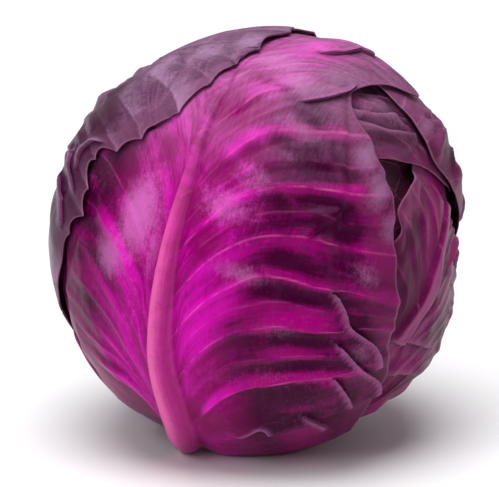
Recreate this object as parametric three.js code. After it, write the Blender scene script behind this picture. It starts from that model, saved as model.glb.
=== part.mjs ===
import * as THREE from 'three';

// A red cabbage head. It rests on the floor at z = 0 and its front faces -Y. Lengths are in mm and angles in
// degrees. Every leaf is a closed sheet wrapped round the heart. A leaf is laid out in its own two angles:
// "along" runs up its midrib from the cut stem, "aside" runs sideways from the midrib. Leaves are stacked in
// the order of LEAVES, and each one rides over the edges of those beneath it.
const DEG = Math.PI / 180;
const CENTRE = [-0.5, 0, 79];
const STEM_LEAN = 14.4;
const HEART_RADIUS = 74.8;
const HEART_GAP = 1.3;
const SHEET = 0.8;
const GAP = 0.85;
const FOOT_OPENING = 9;
const STEM_RADIUS = 11.5;
const FLOOR_SOFTNESS = 0.35;
// No leaf reaches further aside than this; beyond it the two angles close in on a pole
const WIDEST = 66;

const STEM_AXIS = [-Math.sin(STEM_LEAN * DEG), 0, -Math.cos(STEM_LEAN * DEG)];
const FRONT = [0, -1, 0];
const SIDE = [Math.cos(STEM_LEAN * DEG), 0, -Math.sin(STEM_LEAN * DEG)];

// Broad swellings of the whole head: direction, height and angular reach
const SWELLINGS = [
  { toward: [0.62, -0.1, 0.75], height: 2.6, reach: 28 },
  { toward: [-0.56, 0.05, 0.83], height: -4.6, reach: 17 },
  { toward: [1, 0.1, 0.16], height: -3.8, reach: 20 },
  { toward: [0.74, -0.2, -0.64], height: 5, reach: 20 },
  { toward: [-0.62, -0.2, -0.75], height: 3.6, reach: 22 },
  { toward: [-0.05, -0.12, -1], height: 3.4, reach: 26 },
  { toward: [-0.94, 0, 0.34], height: -1.6, reach: 14 },
  { toward: [-1, 0, 0], height: 1.2, reach: 12 },
];

const LEAVES = [
  {
    name: 'lower_right_leaf', turn: 88, first: 11, last: 138, rise: 30, fan: 0.5,
    middle: [[10, 0], [140, 0]],
    footLeft: [[0, 11], [8, 12], [16, 13], [26, 16], [40, 22]],
    footRight: [[0, 11], [8, 13], [16, 17], [26, 24], [40, 36]],
    left: [[20, 34], [35, 44], [55, 49], [75, 49], [100, 43], [125, 28], [140, 8]],
    right: [[30, 34], [50, 44], [75, 48], [100, 42], [125, 28], [140, 8]],
    rib: [[10, 4.4, 2.6], [70, 2.6, 1.8], [140, 1, 0.4]], veins: [20, 31, 42, 53, 65, 77, 89, 101, 113, 125],
    wave: 0.9, curl: [[10, 0.4], [60, 1.6], [140, 1]], teeth: 0.03, columns: 6, colour: 0x7d3d62,
  },
  {
    name: 'left_leaf', turn: -85, first: 11, last: 133, rise: 30, fan: 0.5,
    middle: [[10, 0], [135, 0]],
    footLeft: [[0, 11], [8, 13], [16, 18], [26, 26], [40, 38]],
    footRight: [[0, 11], [8, 12], [16, 13], [26, 15], [40, 20]],
    left: [[30, 32], [50, 42], [75, 46], [100, 40], [120, 26], [135, 8]],
    right: [[18, 38], [35, 47], [55, 52], [75, 52], [100, 44], [120, 28], [135, 8]],
    rib: [[10, 4.4, 2.6], [70, 2.6, 1.8], [135, 1, 0.4]],
    veins: [19, 28, 37, 46, 56, 66, 76, 87, 98, 110, 122],
    wave: 1.0, curl: [[10, 0.4], [60, 1.6], [135, 1]], teeth: 0.03, columns: 6, colour: 0x7a3a60,
  },
  {
    name: 'right_leaf', turn: 40, first: 11, last: 164, rise: 31, fan: 0.7,
    middle: [[10, -4], [40, 0], [79, 7], [92, 15], [105, 18], [119, 25], [140, 28], [165, 28]],
    footLeft: [[0, 11], [8, 12], [16, 13], [26, 17], [40, 26]],
    footRight: [[0, 11], [4, 24], [8, 42], [13, 57], [19, 64], [26, 66], [34, 66]],
    left: [[25, 34], [45, 42], [70, 44], [92, 34], [104, 24], [110, 22], [116, 26], [121, 24], [128, 20],
      [142, 20], [158, 14], [166, 6]],
    right: [[60, 31], [70, 33], [90, 38], [115, 41], [138, 38], [156, 22], [166, 7]],
    rib: [[10, 4.6, 3], [80, 3, 2.2], [165, 1, 0.5]],
    veins: [19, 29, 39, 49, 59, 69, 78, 87, 96, 105, 114, 123, 134, 147], wave: 1.3,
    curl: [[10, 0.4], [60, 1.5], [110, 2.6], [165, 1]], teeth: 0.05, columns: 7, colour: 0x8a3f6a,
  },
  {
    name: 'crown_leaf', turn: 180, first: 11, last: 230, rise: 31, fan: 0.35,
    middle: [[10, 0], [231, 0]],
    footLeft: [[0, 11], [8, 13], [16, 19], [26, 30], [40, 46]],
    footRight: [[0, 11], [8, 13], [16, 19], [26, 30], [40, 46]],
    left: [[38, 34], [60, 46], [90, 56], [125, 62], [160, 64], [190, 61], [209, 53], [217, 42], [225, 27],
      [231, 12]],
    right: [[38, 34], [60, 44], [90, 54], [125, 58], [160, 56], [190, 48], [209, 36], [221, 22], [231, 11]],
    rib: [[10, 4.6, 3], [110, 3, 2], [231, 1, 0.4]],
    veins: [20, 32, 44, 57, 70, 83, 96, 110, 124, 138, 153, 168, 184, 200, 215], wave: 1.2,
    curl: [[10, 0.4], [60, 1.6], [200, 2.2], [231, 1.6]], teeth: 0.03, columns: 8, colour: 0x86486f,
  },
  {
    name: 'right_back_leaf', turn: 108, first: 11, last: 176, rise: 31, fan: 0.6,
    middle: [[10, 14], [60, 12], [100, 6], [130, 0], [178, -4]],
    footLeft: [[0, 11], [5, 24], [10, 38], [16, 50], [24, 66]],
    footRight: [[0, 11], [5, 17], [12, 26], [24, 38], [40, 54]],
    left: [[50, 20], [70, 22], [90, 23], [110, 27], [122, 31], [131, 34], [141, 36], [148, 32], [158, 26],
      [170, 16], [178, 7]],
    right: [[38, 34], [60, 42], [90, 50], [120, 52], [150, 42], [168, 24], [178, 7]],
    rib: [[10, 4.6, 3], [80, 3, 1.2], [178, 1, 0.4]],
    veins: [20, 31, 42, 53, 64, 75, 86, 97, 109, 121, 134, 148, 162], wave: 1.3,
    curl: [[10, 0.4], [60, 1.6], [130, 2.2], [178, 1.2]], teeth: 0.04, columns: 6, colour: 0x86446c,
  },
  {
    name: 'front_leaf', turn: -26, first: 11, last: 196, rise: 31, fan: 0.8,
    middle: [[10, 0], [20, 4], [40, 6.5], [65, 4], [90, 2], [115, 0], [133, -3], [150, -5], [170, -2],
      [198, 0]],
    footLeft: [[0, 11], [3, 22], [5, 34], [9, 43], [15, 47], [24, 46], [34, 46]],
    footRight: [[0, 11], [5, 8], [12, 1], [20, -7], [32, -15]],
    left: [[44, 31], [58, 36], [75, 39], [95, 46], [120, 54], [150, 52], [175, 38], [190, 20], [198, 8]],
    right: [[-15, 30], [-3, 41], [10, 50], [22, 53], [40, 60], [65, 63], [85, 64], [102, 62], [129, 57],
      [140, 51], [148, 43], [157, 31], [171, 30], [188, 34], [195, 22], [198, 9]],
    rib: [[10, 4.2, 3.4], [56, 3.7, 4.2], [92, 2.3, 3], [140, 1.5, 1.7], [196, 1, 0.6]],
    veins: [14, 22, 30, 39, 49, 56, 63, 69, 75, 82, 89, 97, 106, 115, 124, 133, 142, 152, 164, 178],
    extraRows: [16, 20, 24, 28], wave: 1.7,
    curl: [[10, 0.6], [50, 3.2], [110, 4.2], [150, 2.6], [196, 1.6]], teeth: 0.03, columns: 8,
    colour: 0xa8197a,
  },
  {
    name: 'left_back_leaf', turn: -118, first: 11, last: 178, rise: 31, fan: 0.35,
    middle: [[10, 0], [181, 0]],
    footLeft: [[0, 11], [5, 17], [12, 26], [24, 38], [40, 54]],
    footRight: [[0, 11], [5, 26], [12, 38], [24, 46], [40, 52]],
    left: [[38, 34], [60, 44], [90, 54], [120, 56], [150, 50], [168, 36], [178, 18], [181, 9]],
    right: [[44, 37], [56, 46], [65, 53], [73, 57], [82, 60], [95, 65], [108, 62], [120, 57],
      [139, 61], [153, 59], [168, 51], [176, 36], [179, 20], [181, 9]],
    rib: [[10, 4.8, 3.6], [90, 3.2, 2.4], [181, 1, 0.5]],
    veins: [20, 31, 42, 53, 64, 75, 86, 96, 106, 116, 127, 138, 150, 163], wave: 1.2,
    curl: [[10, 0.4], [60, 1.8], [120, 1.3], [181, 1]], teeth: 0.045, columns: 8, colour: 0xa07694,
  },
];

const dot = (a, b) => a[0] * b[0] + a[1] * b[1] + a[2] * b[2];
const combine = (a, b, p, q) => [p * a[0] + q * b[0], p * a[1] + q * b[1], p * a[2] + q * b[2]];
const clamp = (x, low, high) => Math.min(high, Math.max(low, x));

function ease(x) {
  const t = clamp(x, 0, 1);
  return t * t * (3 - 2 * t);
}

// A smooth curve through named points; column picks which number of each point is read
function along(points, x, column = 1) {
  const last = points.length - 1;
  const at = clamp(x, points[0][0], points[last][0]);
  let i = 0;
  while (i < last - 1 && at > points[i + 1][0]) i += 1;
  const slope = (k) => {
    const before = points[Math.max(k - 1, 0)];
    const after = points[Math.min(k + 1, last)];
    return (after[column] - before[column]) / (after[0] - before[0]);
  };
  const width = points[i + 1][0] - points[i][0];
  const t = (at - points[i][0]) / width;
  const u = 1 - t;
  return (1 + 2 * t) * u * u * points[i][column] + t * u * u * width * slope(i)
    + t * t * (3 - 2 * t) * points[i + 1][column] - t * t * u * width * slope(i + 1);
}

function leafDirection(leaf, alongAngle, aside) {
  const out = combine(FRONT, SIDE, Math.cos(leaf.turn * DEG), Math.sin(leaf.turn * DEG));
  const across = combine(FRONT, SIDE, -Math.sin(leaf.turn * DEG), Math.cos(leaf.turn * DEG));
  const b = (aside + along(leaf.middle, alongAngle)) * DEG;
  const a = alongAngle * DEG;
  return combine(combine(STEM_AXIS, out, Math.cos(a), Math.sin(a)), across, Math.cos(b), Math.sin(b));
}

// The half width of a blade falls away quickly beyond the ends of its outline
function halfWidth(outline, alongAngle) {
  return along(outline, alongAngle) - 3 * Math.max(alongAngle - outline[outline.length - 1][0], 0);
}

// Degrees inside the nearest edge of a leaf, negative outside it: its side margin, its foot and its tip
function marginDepth(leaf, d) {
  const out = combine(FRONT, SIDE, Math.cos(leaf.turn * DEG), Math.sin(leaf.turn * DEG));
  const across = combine(FRONT, SIDE, -Math.sin(leaf.turn * DEG), Math.cos(leaf.turn * DEG));
  let a = Math.atan2(dot(d, out), dot(d, STEM_AXIS)) / DEG;
  if (a < -90) a += 360;
  const b = Math.asin(clamp(dot(d, across), -1, 1)) / DEG - along(leaf.middle, a);
  const shrink = Math.cos(b * DEG);
  const outline = b < 0 ? leaf.left : leaf.right;
  const foot = b < 0 ? leaf.footLeft : leaf.footRight;
  const aside = Math.abs(b);
  const turn = (halfWidth(outline, a + 1) - halfWidth(outline, a - 1)) / 2 / shrink;
  const climb = (along(foot, aside + 1) - along(foot, aside - 1)) / 2 * shrink;
  return Math.min(
    (halfWidth(outline, a) - aside) / Math.hypot(1, turn),
    (a - along(foot, aside)) * shrink / Math.hypot(1, climb),
    (leaf.last - a) * shrink,
    2 * (WIDEST - aside),
  );
}

const covers = (leaf, d) => ease((marginDepth(leaf, d) + 20) / 16);

function headRadius(d) {
  let radius = HEART_RADIUS;
  for (const s of SWELLINGS) {
    const length = Math.hypot(...s.toward);
    const angle = Math.acos(clamp(dot(d, s.toward) / length, -1, 1)) / DEG;
    radius += s.height * Math.exp(-((angle / s.reach) ** 2));
  }
  return radius;
}

const layersUnder = (k, d) => LEAVES.slice(0, k).reduce((sum, leaf) => sum + covers(leaf, d), 0);
const layersOver = (k, d) => LEAVES.slice(k + 1).reduce((sum, leaf) => sum + covers(leaf, d), 0);
const pressing = (leaf, d) => ease((marginDepth(leaf, d) + 11) / 6.5);
const freedom = (k, d) => LEAVES.slice(k + 1).reduce((f, leaf) => f * (1 - pressing(leaf, d)), 1);

// Leaf feet open round the stem, then everything is pressed flat where it would sink below its own level
function placed(d, radius, level) {
  const polar = Math.acos(clamp(dot(d, STEM_AXIS), -1, 1)) / DEG;
  const opened = (polar ** 4 + FOOT_OPENING ** 4) ** 0.25;
  const sideways = combine(d, STEM_AXIS, 1, -dot(d, STEM_AXIS));
  const reach = Math.max(Math.hypot(...sideways), 1e-9);
  const turned = combine(STEM_AXIS, sideways, Math.cos(opened * DEG), Math.sin(opened * DEG) / reach);
  return pressed(fromCentre(turned, radius), level);
}

const fromCentre = (d, radius) => combine(CENTRE, d, 1, radius);

function pressed(p, level) {
  const x = (p[2] - level) / FLOOR_SOFTNESS;
  const z = level + FLOOR_SOFTNESS * (x > 30 ? x : Math.log1p(Math.exp(x)));
  return [p[0], p[1], z];
}

// Where the vein row that leaves the midrib at "row" has got to, at "aside" from the midrib. The first row is
// the lower edge of the blade, and the rows above it ease from that edge into evenly raked veins.
function sweep(leaf, side, row, aside) {
  const foot = side < 0 ? leaf.footLeft : leaf.footRight;
  const edge = along(foot, aside) - raked(leaf, leaf.first, aside);
  const most = Math.max(...foot.map(([b, a]) => a - raked(leaf, leaf.first, b)));
  return raked(leaf, row, aside) + edge * (1 - ease((row - leaf.first) / Math.max(1.7 * most, 16)));
}

function raked(leaf, row, aside) {
  const fade = 1 - ease((row - leaf.last + 85) / 85);
  const a = row + leaf.rise * fade * (1 - Math.exp(-((aside / 13) ** 1.25)));
  const beyond = a > 90 ? leaf.fan * fade * Math.min(a - 90, 60) : 0.12 * (a - 90);
  return a + beyond * (1 / Math.cos(Math.min(aside, 75) * DEG) - 1);
}

function rowEnd(leaf, side, row) {
  const outline = side < 0 ? leaf.left : leaf.right;
  const outside = (b) => b > halfWidth(outline, sweep(leaf, side, row, b));
  let high = 0.5;
  while (high < 84 && !outside(high)) high += 0.5;
  let low = high - 0.5;
  for (let i = 0; i < 18; i += 1) {
    const middle = (low + high) / 2;
    if (outside(middle)) high = middle;
    else low = middle;
  }
  return (low + high) / 2;
}

function leafRows(leaf) {
  const rows = [leaf.first, (leaf.first + leaf.veins[0]) / 2];
  leaf.veins.forEach((vein, i) => {
    const next = leaf.veins[i + 1] ?? leaf.last;
    rows.push(vein, (vein + next) / 2);
  });
  rows.push(leaf.last, ...(leaf.extraRows ?? []));
  return rows.sort((a, b) => a - b);
}

function veinHeight(leaf, row) {
  return Math.max(...leaf.veins.map((vein) => Math.exp(-(((row - vein) / 2.2) ** 2))));
}

function leafGeometry(leaf, k) {
  const rows = leafRows(leaf);
  const outer = [];
  const inner = [];
  for (const row of rows) {
    const ribHalf = along(leaf.rib, row, 1);
    const ribHeight = along(leaf.rib, row, 2);
    for (let c = -leaf.columns - 2; c <= leaf.columns + 2; c += 1) {
      const side = c < 0 ? -1 : 1;
      const step = Math.abs(c);
      const tooth = 1 - leaf.teeth * (0.5 + 0.5 * Math.sin(row * 0.61 + leaf.turn + side));
      const end = rowEnd(leaf, side, row) * tooth;
      const inRib = Math.min(ribHalf, end * 0.5);
      const share = (step - 2) / leaf.columns;
      const aside = step <= 2 ? inRib * step / 2 : inRib + (end - inRib) * share ** 1.4;
      const a = sweep(leaf, side, row, aside);
      const d = leafDirection(leaf, a, aside * side);
      const free = freedom(k, d);
      const toMargin = aside / end;
      const ridge = ribHeight * Math.sqrt(Math.max(0, 1 - (aside / inRib) ** 2));
      const wave = leaf.wave * veinHeight(leaf, row) * ease((aside - 6) / 12) * (1 - 0.3 * toMargin);
      const curl = along(leaf.curl, row) * ease((toMargin - 0.78) / 0.22);
      const lift = free * (wave + curl);
      const radius = headRadius(d) + (SHEET + GAP) * layersUnder(k, d) + lift;
      const level = (SHEET + GAP) * layersOver(k, d);
      outer.push(placed(d, radius + SHEET + free * ridge, level));
      inner.push(placed(d, radius, level + SHEET));
    }
  }
  return closedSheet(outer, inner, rows.length, 2 * leaf.columns + 5);
}

// Two matching grids joined round their edge into one closed skin
function closedSheet(outer, inner, rowCount, columnCount) {
  const points = [...outer, ...inner];
  const under = outer.length;
  const faces = [];
  const quad = (a, b, c, d) => faces.push([a, b, c], [a, c, d]);
  for (let i = 0; i + 1 < rowCount; i += 1) {
    for (let j = 0; j + 1 < columnCount; j += 1) {
      const a = i * columnCount + j;
      const b = a + 1;
      const c = b + columnCount;
      const d = a + columnCount;
      quad(a, b, c, d);
      faces.push([under + a, under + c, under + b], [under + a, under + d, under + c]);
    }
  }
  const rim = [];
  for (let j = 0; j + 1 < columnCount; j += 1) rim.push(j);
  for (let i = 0; i + 1 < rowCount; i += 1) rim.push((i + 1) * columnCount - 1);
  for (let j = columnCount - 1; j > 0; j -= 1) rim.push((rowCount - 1) * columnCount + j);
  for (let i = rowCount - 1; i > 0; i -= 1) rim.push(i * columnCount);
  rim.forEach((a, i) => {
    const b = rim[(i + 1) % rim.length];
    quad(b, a, under + a, under + b);
  });
  return solid(points, faces);
}

function solid(points, faces) {
  let volume = 0;
  for (const [a, b, c] of faces) {
    const [p, q, r] = [points[a], points[b], points[c]];
    const cross = [q[1] * r[2] - q[2] * r[1], q[2] * r[0] - q[0] * r[2], q[0] * r[1] - q[1] * r[0]];
    volume += dot(p, cross);
  }
  const outward = volume > 0 ? faces : faces.map(([a, b, c]) => [a, c, b]);
  const geometry = new THREE.BufferGeometry();
  geometry.setAttribute('position', new THREE.Float32BufferAttribute(points.flat(), 3));
  geometry.setIndex(outward.flat());
  geometry.computeVertexNormals();
  return geometry;
}

// The tight ball of folded inner leaves, laid out in rings round the stem axis
function heartGeometry() {
  const rings = 20;
  const spokes = 24;
  const across = [0, 1, 0];
  const out = [SIDE[0], SIDE[1], SIDE[2]];
  const skin = (polar, around) => {
    const sideways = combine(out, across, Math.cos(around), Math.sin(around));
    const d = combine(STEM_AXIS, sideways, Math.cos(polar), Math.sin(polar));
    const level = (SHEET + GAP) * layersOver(-1, d) + HEART_GAP;
    const radius = headRadius(d) - HEART_GAP;
    return pressed(fromCentre(d, radius), level);
  };
  const points = [skin(0, 0), skin(Math.PI, 0)];
  const faces = [];
  for (let i = 1; i < rings; i += 1) {
    for (let j = 0; j < spokes; j += 1) {
      points.push(skin(Math.PI * i / rings, 2 * Math.PI * (j + (i % 2) / 2) / spokes));
    }
  }
  const at = (i, j) => 2 + (i - 1) * spokes + (j % spokes);
  for (let j = 0; j < spokes; j += 1) {
    faces.push([0, at(1, j), at(1, j + 1)], [1, at(rings - 1, j + 1), at(rings - 1, j)]);
    for (let i = 1; i + 1 < rings; i += 1) {
      const [a, b, c, d] = [at(i, j), at(i + 1, j), at(i + 1, j + 1), at(i, j + 1)];
      if (i % 2) faces.push([a, b, d], [b, c, d]);
      else faces.push([a, b, c], [a, c, d]);
    }
  }
  return solid(points, faces);
}

// The cut stem: round across its own axis, its lower end trimmed level so that the head can stand on it
function stemGeometry() {
  const spokes = 36;
  const top = headRadius(STEM_AXIS) - HEART_GAP + 0.4;
  const points = [];
  for (let j = 0; j < spokes; j += 1) {
    const around = 2 * Math.PI * j / spokes;
    const rib = STEM_RADIUS * (1 - 0.03 * (1 + Math.cos(5 * around)));
    const sideways = combine(SIDE, [0, 1, 0], rib * Math.cos(around), rib * Math.sin(around));
    const bottom = (CENTRE[2] + sideways[2]) / Math.cos(STEM_LEAN * DEG);
    const high = combine(STEM_AXIS, sideways, top, 1);
    const low = combine(STEM_AXIS, sideways, bottom, 1);
    points.push(fromCentre(high, 1), [low[0] + CENTRE[0], low[1] + CENTRE[1], 0]);
  }
  points.push(fromCentre(STEM_AXIS, top));
  points.push([CENTRE[0] - CENTRE[2] * Math.tan(STEM_LEAN * DEG), CENTRE[1], 0]);
  const faces = [];
  for (let j = 0; j < spokes; j += 1) {
    const a = 2 * j;
    const b = 2 * ((j + 1) % spokes);
    faces.push([a, a + 1, b], [b, a + 1, b + 1], [a, b, 2 * spokes], [b + 1, a + 1, 2 * spokes + 1]);
  }
  return solid(points, faces);
}

function mesh(name, geometry, colour, roughness) {
  const finish = new THREE.MeshStandardMaterial({ color: colour, roughness, metalness: 0 });
  const made = new THREE.Mesh(geometry, finish);
  made.name = name;
  return made;
}

const head = new THREE.Group();
head.name = 'red_cabbage_head';
head.add(mesh('heart', heartGeometry(), 0x6d2450, 0.6));
head.add(mesh('stem', stemGeometry(), 0xd9c3bf, 0.8));
LEAVES.forEach((leaf, k) => head.add(mesh(leaf.name, leafGeometry(leaf, k), leaf.colour, 0.55)));

export default head;
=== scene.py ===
# %% [markdown]
# # A red cabbage head
# A cabbage is a ball of leaves. Each leaf is a thin curved sheet that grows from the cut stem, wraps most
# of the way round the leaves inside it and ends in a wavy edge. We build it the same way: one closed sheet
# per leaf, laid over the sheets beneath it, round a heart and a stem. The solid model is loaded first and
# stays as the fixed frame, so every finer piece made here has a part to stand for and a box to stay in.

# %% Load the frame
import math

import bpy
import numpy as np
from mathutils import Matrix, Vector


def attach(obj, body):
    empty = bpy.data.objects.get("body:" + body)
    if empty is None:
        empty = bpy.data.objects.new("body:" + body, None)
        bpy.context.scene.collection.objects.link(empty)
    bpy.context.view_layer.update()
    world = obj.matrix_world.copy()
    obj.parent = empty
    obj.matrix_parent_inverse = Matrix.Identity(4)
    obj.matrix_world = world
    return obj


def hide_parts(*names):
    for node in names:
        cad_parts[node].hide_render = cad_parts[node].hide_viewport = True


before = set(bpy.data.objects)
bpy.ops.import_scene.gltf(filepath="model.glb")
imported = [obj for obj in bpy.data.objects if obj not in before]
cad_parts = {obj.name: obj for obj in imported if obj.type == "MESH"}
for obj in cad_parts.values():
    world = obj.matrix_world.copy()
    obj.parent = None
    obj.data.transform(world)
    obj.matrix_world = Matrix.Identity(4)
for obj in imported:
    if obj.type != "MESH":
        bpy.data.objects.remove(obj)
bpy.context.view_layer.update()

# %% [markdown]
# ## The camera
# The head was seen from the front and a little above, with a long lens, which keeps a round thing round. A
# camera looks along its own -Z, so it is turned by a track quaternion. The two small shifts put the head
# where it sat in the picture, a few pixels right of the middle and above it.

# %% Place the camera
PICTURE_WIDTH = 499
CAMERA_ELEVATION = math.radians(12)
CAMERA_DISTANCE = 0.8
HEAD_MIDDLE = Vector((0, 0, 0.079))
PIXEL = 0.0003837
OFF_CENTRE = (6, 5.5)

lens = bpy.data.cameras.new("portrait_lens")
lens.sensor_width = 36
lens.lens = CAMERA_DISTANCE / PIXEL / PICTURE_WIDTH * lens.sensor_width
lens.shift_x = -OFF_CENTRE[0] / PICTURE_WIDTH
lens.shift_y = -OFF_CENTRE[1] / PICTURE_WIDTH
camera = bpy.data.objects.new("camera", lens)
toward_camera = Vector((0, -math.cos(CAMERA_ELEVATION), math.sin(CAMERA_ELEVATION)))
camera.location = HEAD_MIDDLE + CAMERA_DISTANCE * toward_camera
camera.rotation_euler = (-toward_camera).to_track_quat("-Z", "Y").to_euler()
bpy.context.collection.objects.link(camera)
bpy.context.scene.camera = camera
print("lens, mm:", round(lens.lens, 1))

# %% [markdown]
# ## The ball under the leaves
# Every point of the head is a direction from its middle and a radius. The ball isn't quite round: a few
# broad swellings, each a soft bell in angle, push it out or in. Lengths are in millimetres and angles in
# degrees until a mesh is made.

# %% The shape of the ball
DEG = math.pi / 180
CENTRE = np.array([-0.5, 0.0, 79.0])
STEM_LEAN = 14.4
BALL_RADIUS = 74.8
HEART_GAP = 1.3
SHEET = 0.8
GAP = 0.85
LAYER = SHEET + GAP
FOOT_OPENING = 9
FLOOR_SOFTNESS = 0.35
# no leaf reaches further aside than this; beyond it the two angles close in on a pole
WIDEST = 66
# the radius at which the leaves' random relief is read, near that of the finished head
SKIN_RADIUS = 79

STEM_AXIS = np.array([-math.sin(STEM_LEAN * DEG), 0, -math.cos(STEM_LEAN * DEG)])
FRONT = np.array([0.0, -1.0, 0.0])
SIDE = np.array([math.cos(STEM_LEAN * DEG), 0, -math.sin(STEM_LEAN * DEG)])

# direction, height and reach of each swelling
SWELLINGS = [
    ((0.62, -0.1, 0.75), 2.6, 28),
    ((-0.56, 0.05, 0.83), -4.6, 17),
    ((1, 0.1, 0.16), -3.8, 20),
    ((0.74, -0.2, -0.64), 5, 20),
    ((-0.62, -0.2, -0.75), 3.6, 22),
    ((-0.05, -0.12, -1), 3.4, 26),
    ((-0.94, 0, 0.34), -1.6, 14),
    ((-1, 0, 0), 1.2, 12),
]


def ease(x):
    """0 below 0, 1 above 1, smooth between"""
    t = np.clip(x, 0, 1)
    return t * t * (3 - 2 * t)


def ball_radius(d):
    """The radius in mm of the ball under the leaves, in each direction d"""
    radius = np.full(d.shape[:-1], float(BALL_RADIUS))
    for toward, height, reach in SWELLINGS:
        toward = np.array(toward) / np.linalg.norm(toward)
        angle = np.arccos(np.clip(d @ toward, -1, 1)) / DEG
        radius += height * np.exp(-((angle / reach) ** 2))
    return radius


print("ball radius at the front:", ball_radius(FRONT[None, :]).round(1))

# %% [markdown]
# ## The leaves as a table
# A leaf is described in its own two angles: "along" runs up the midrib from the stem, "aside" runs out
# sideways. Short lists of points give the blade's outline, its foot, the width and height of the midrib
# and where the side veins leave it. The leaves are listed from the inside out, because each one has to
# ride over those before it. The numbers are those of the solid model; the visible sheets add only finer
# relief.

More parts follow.
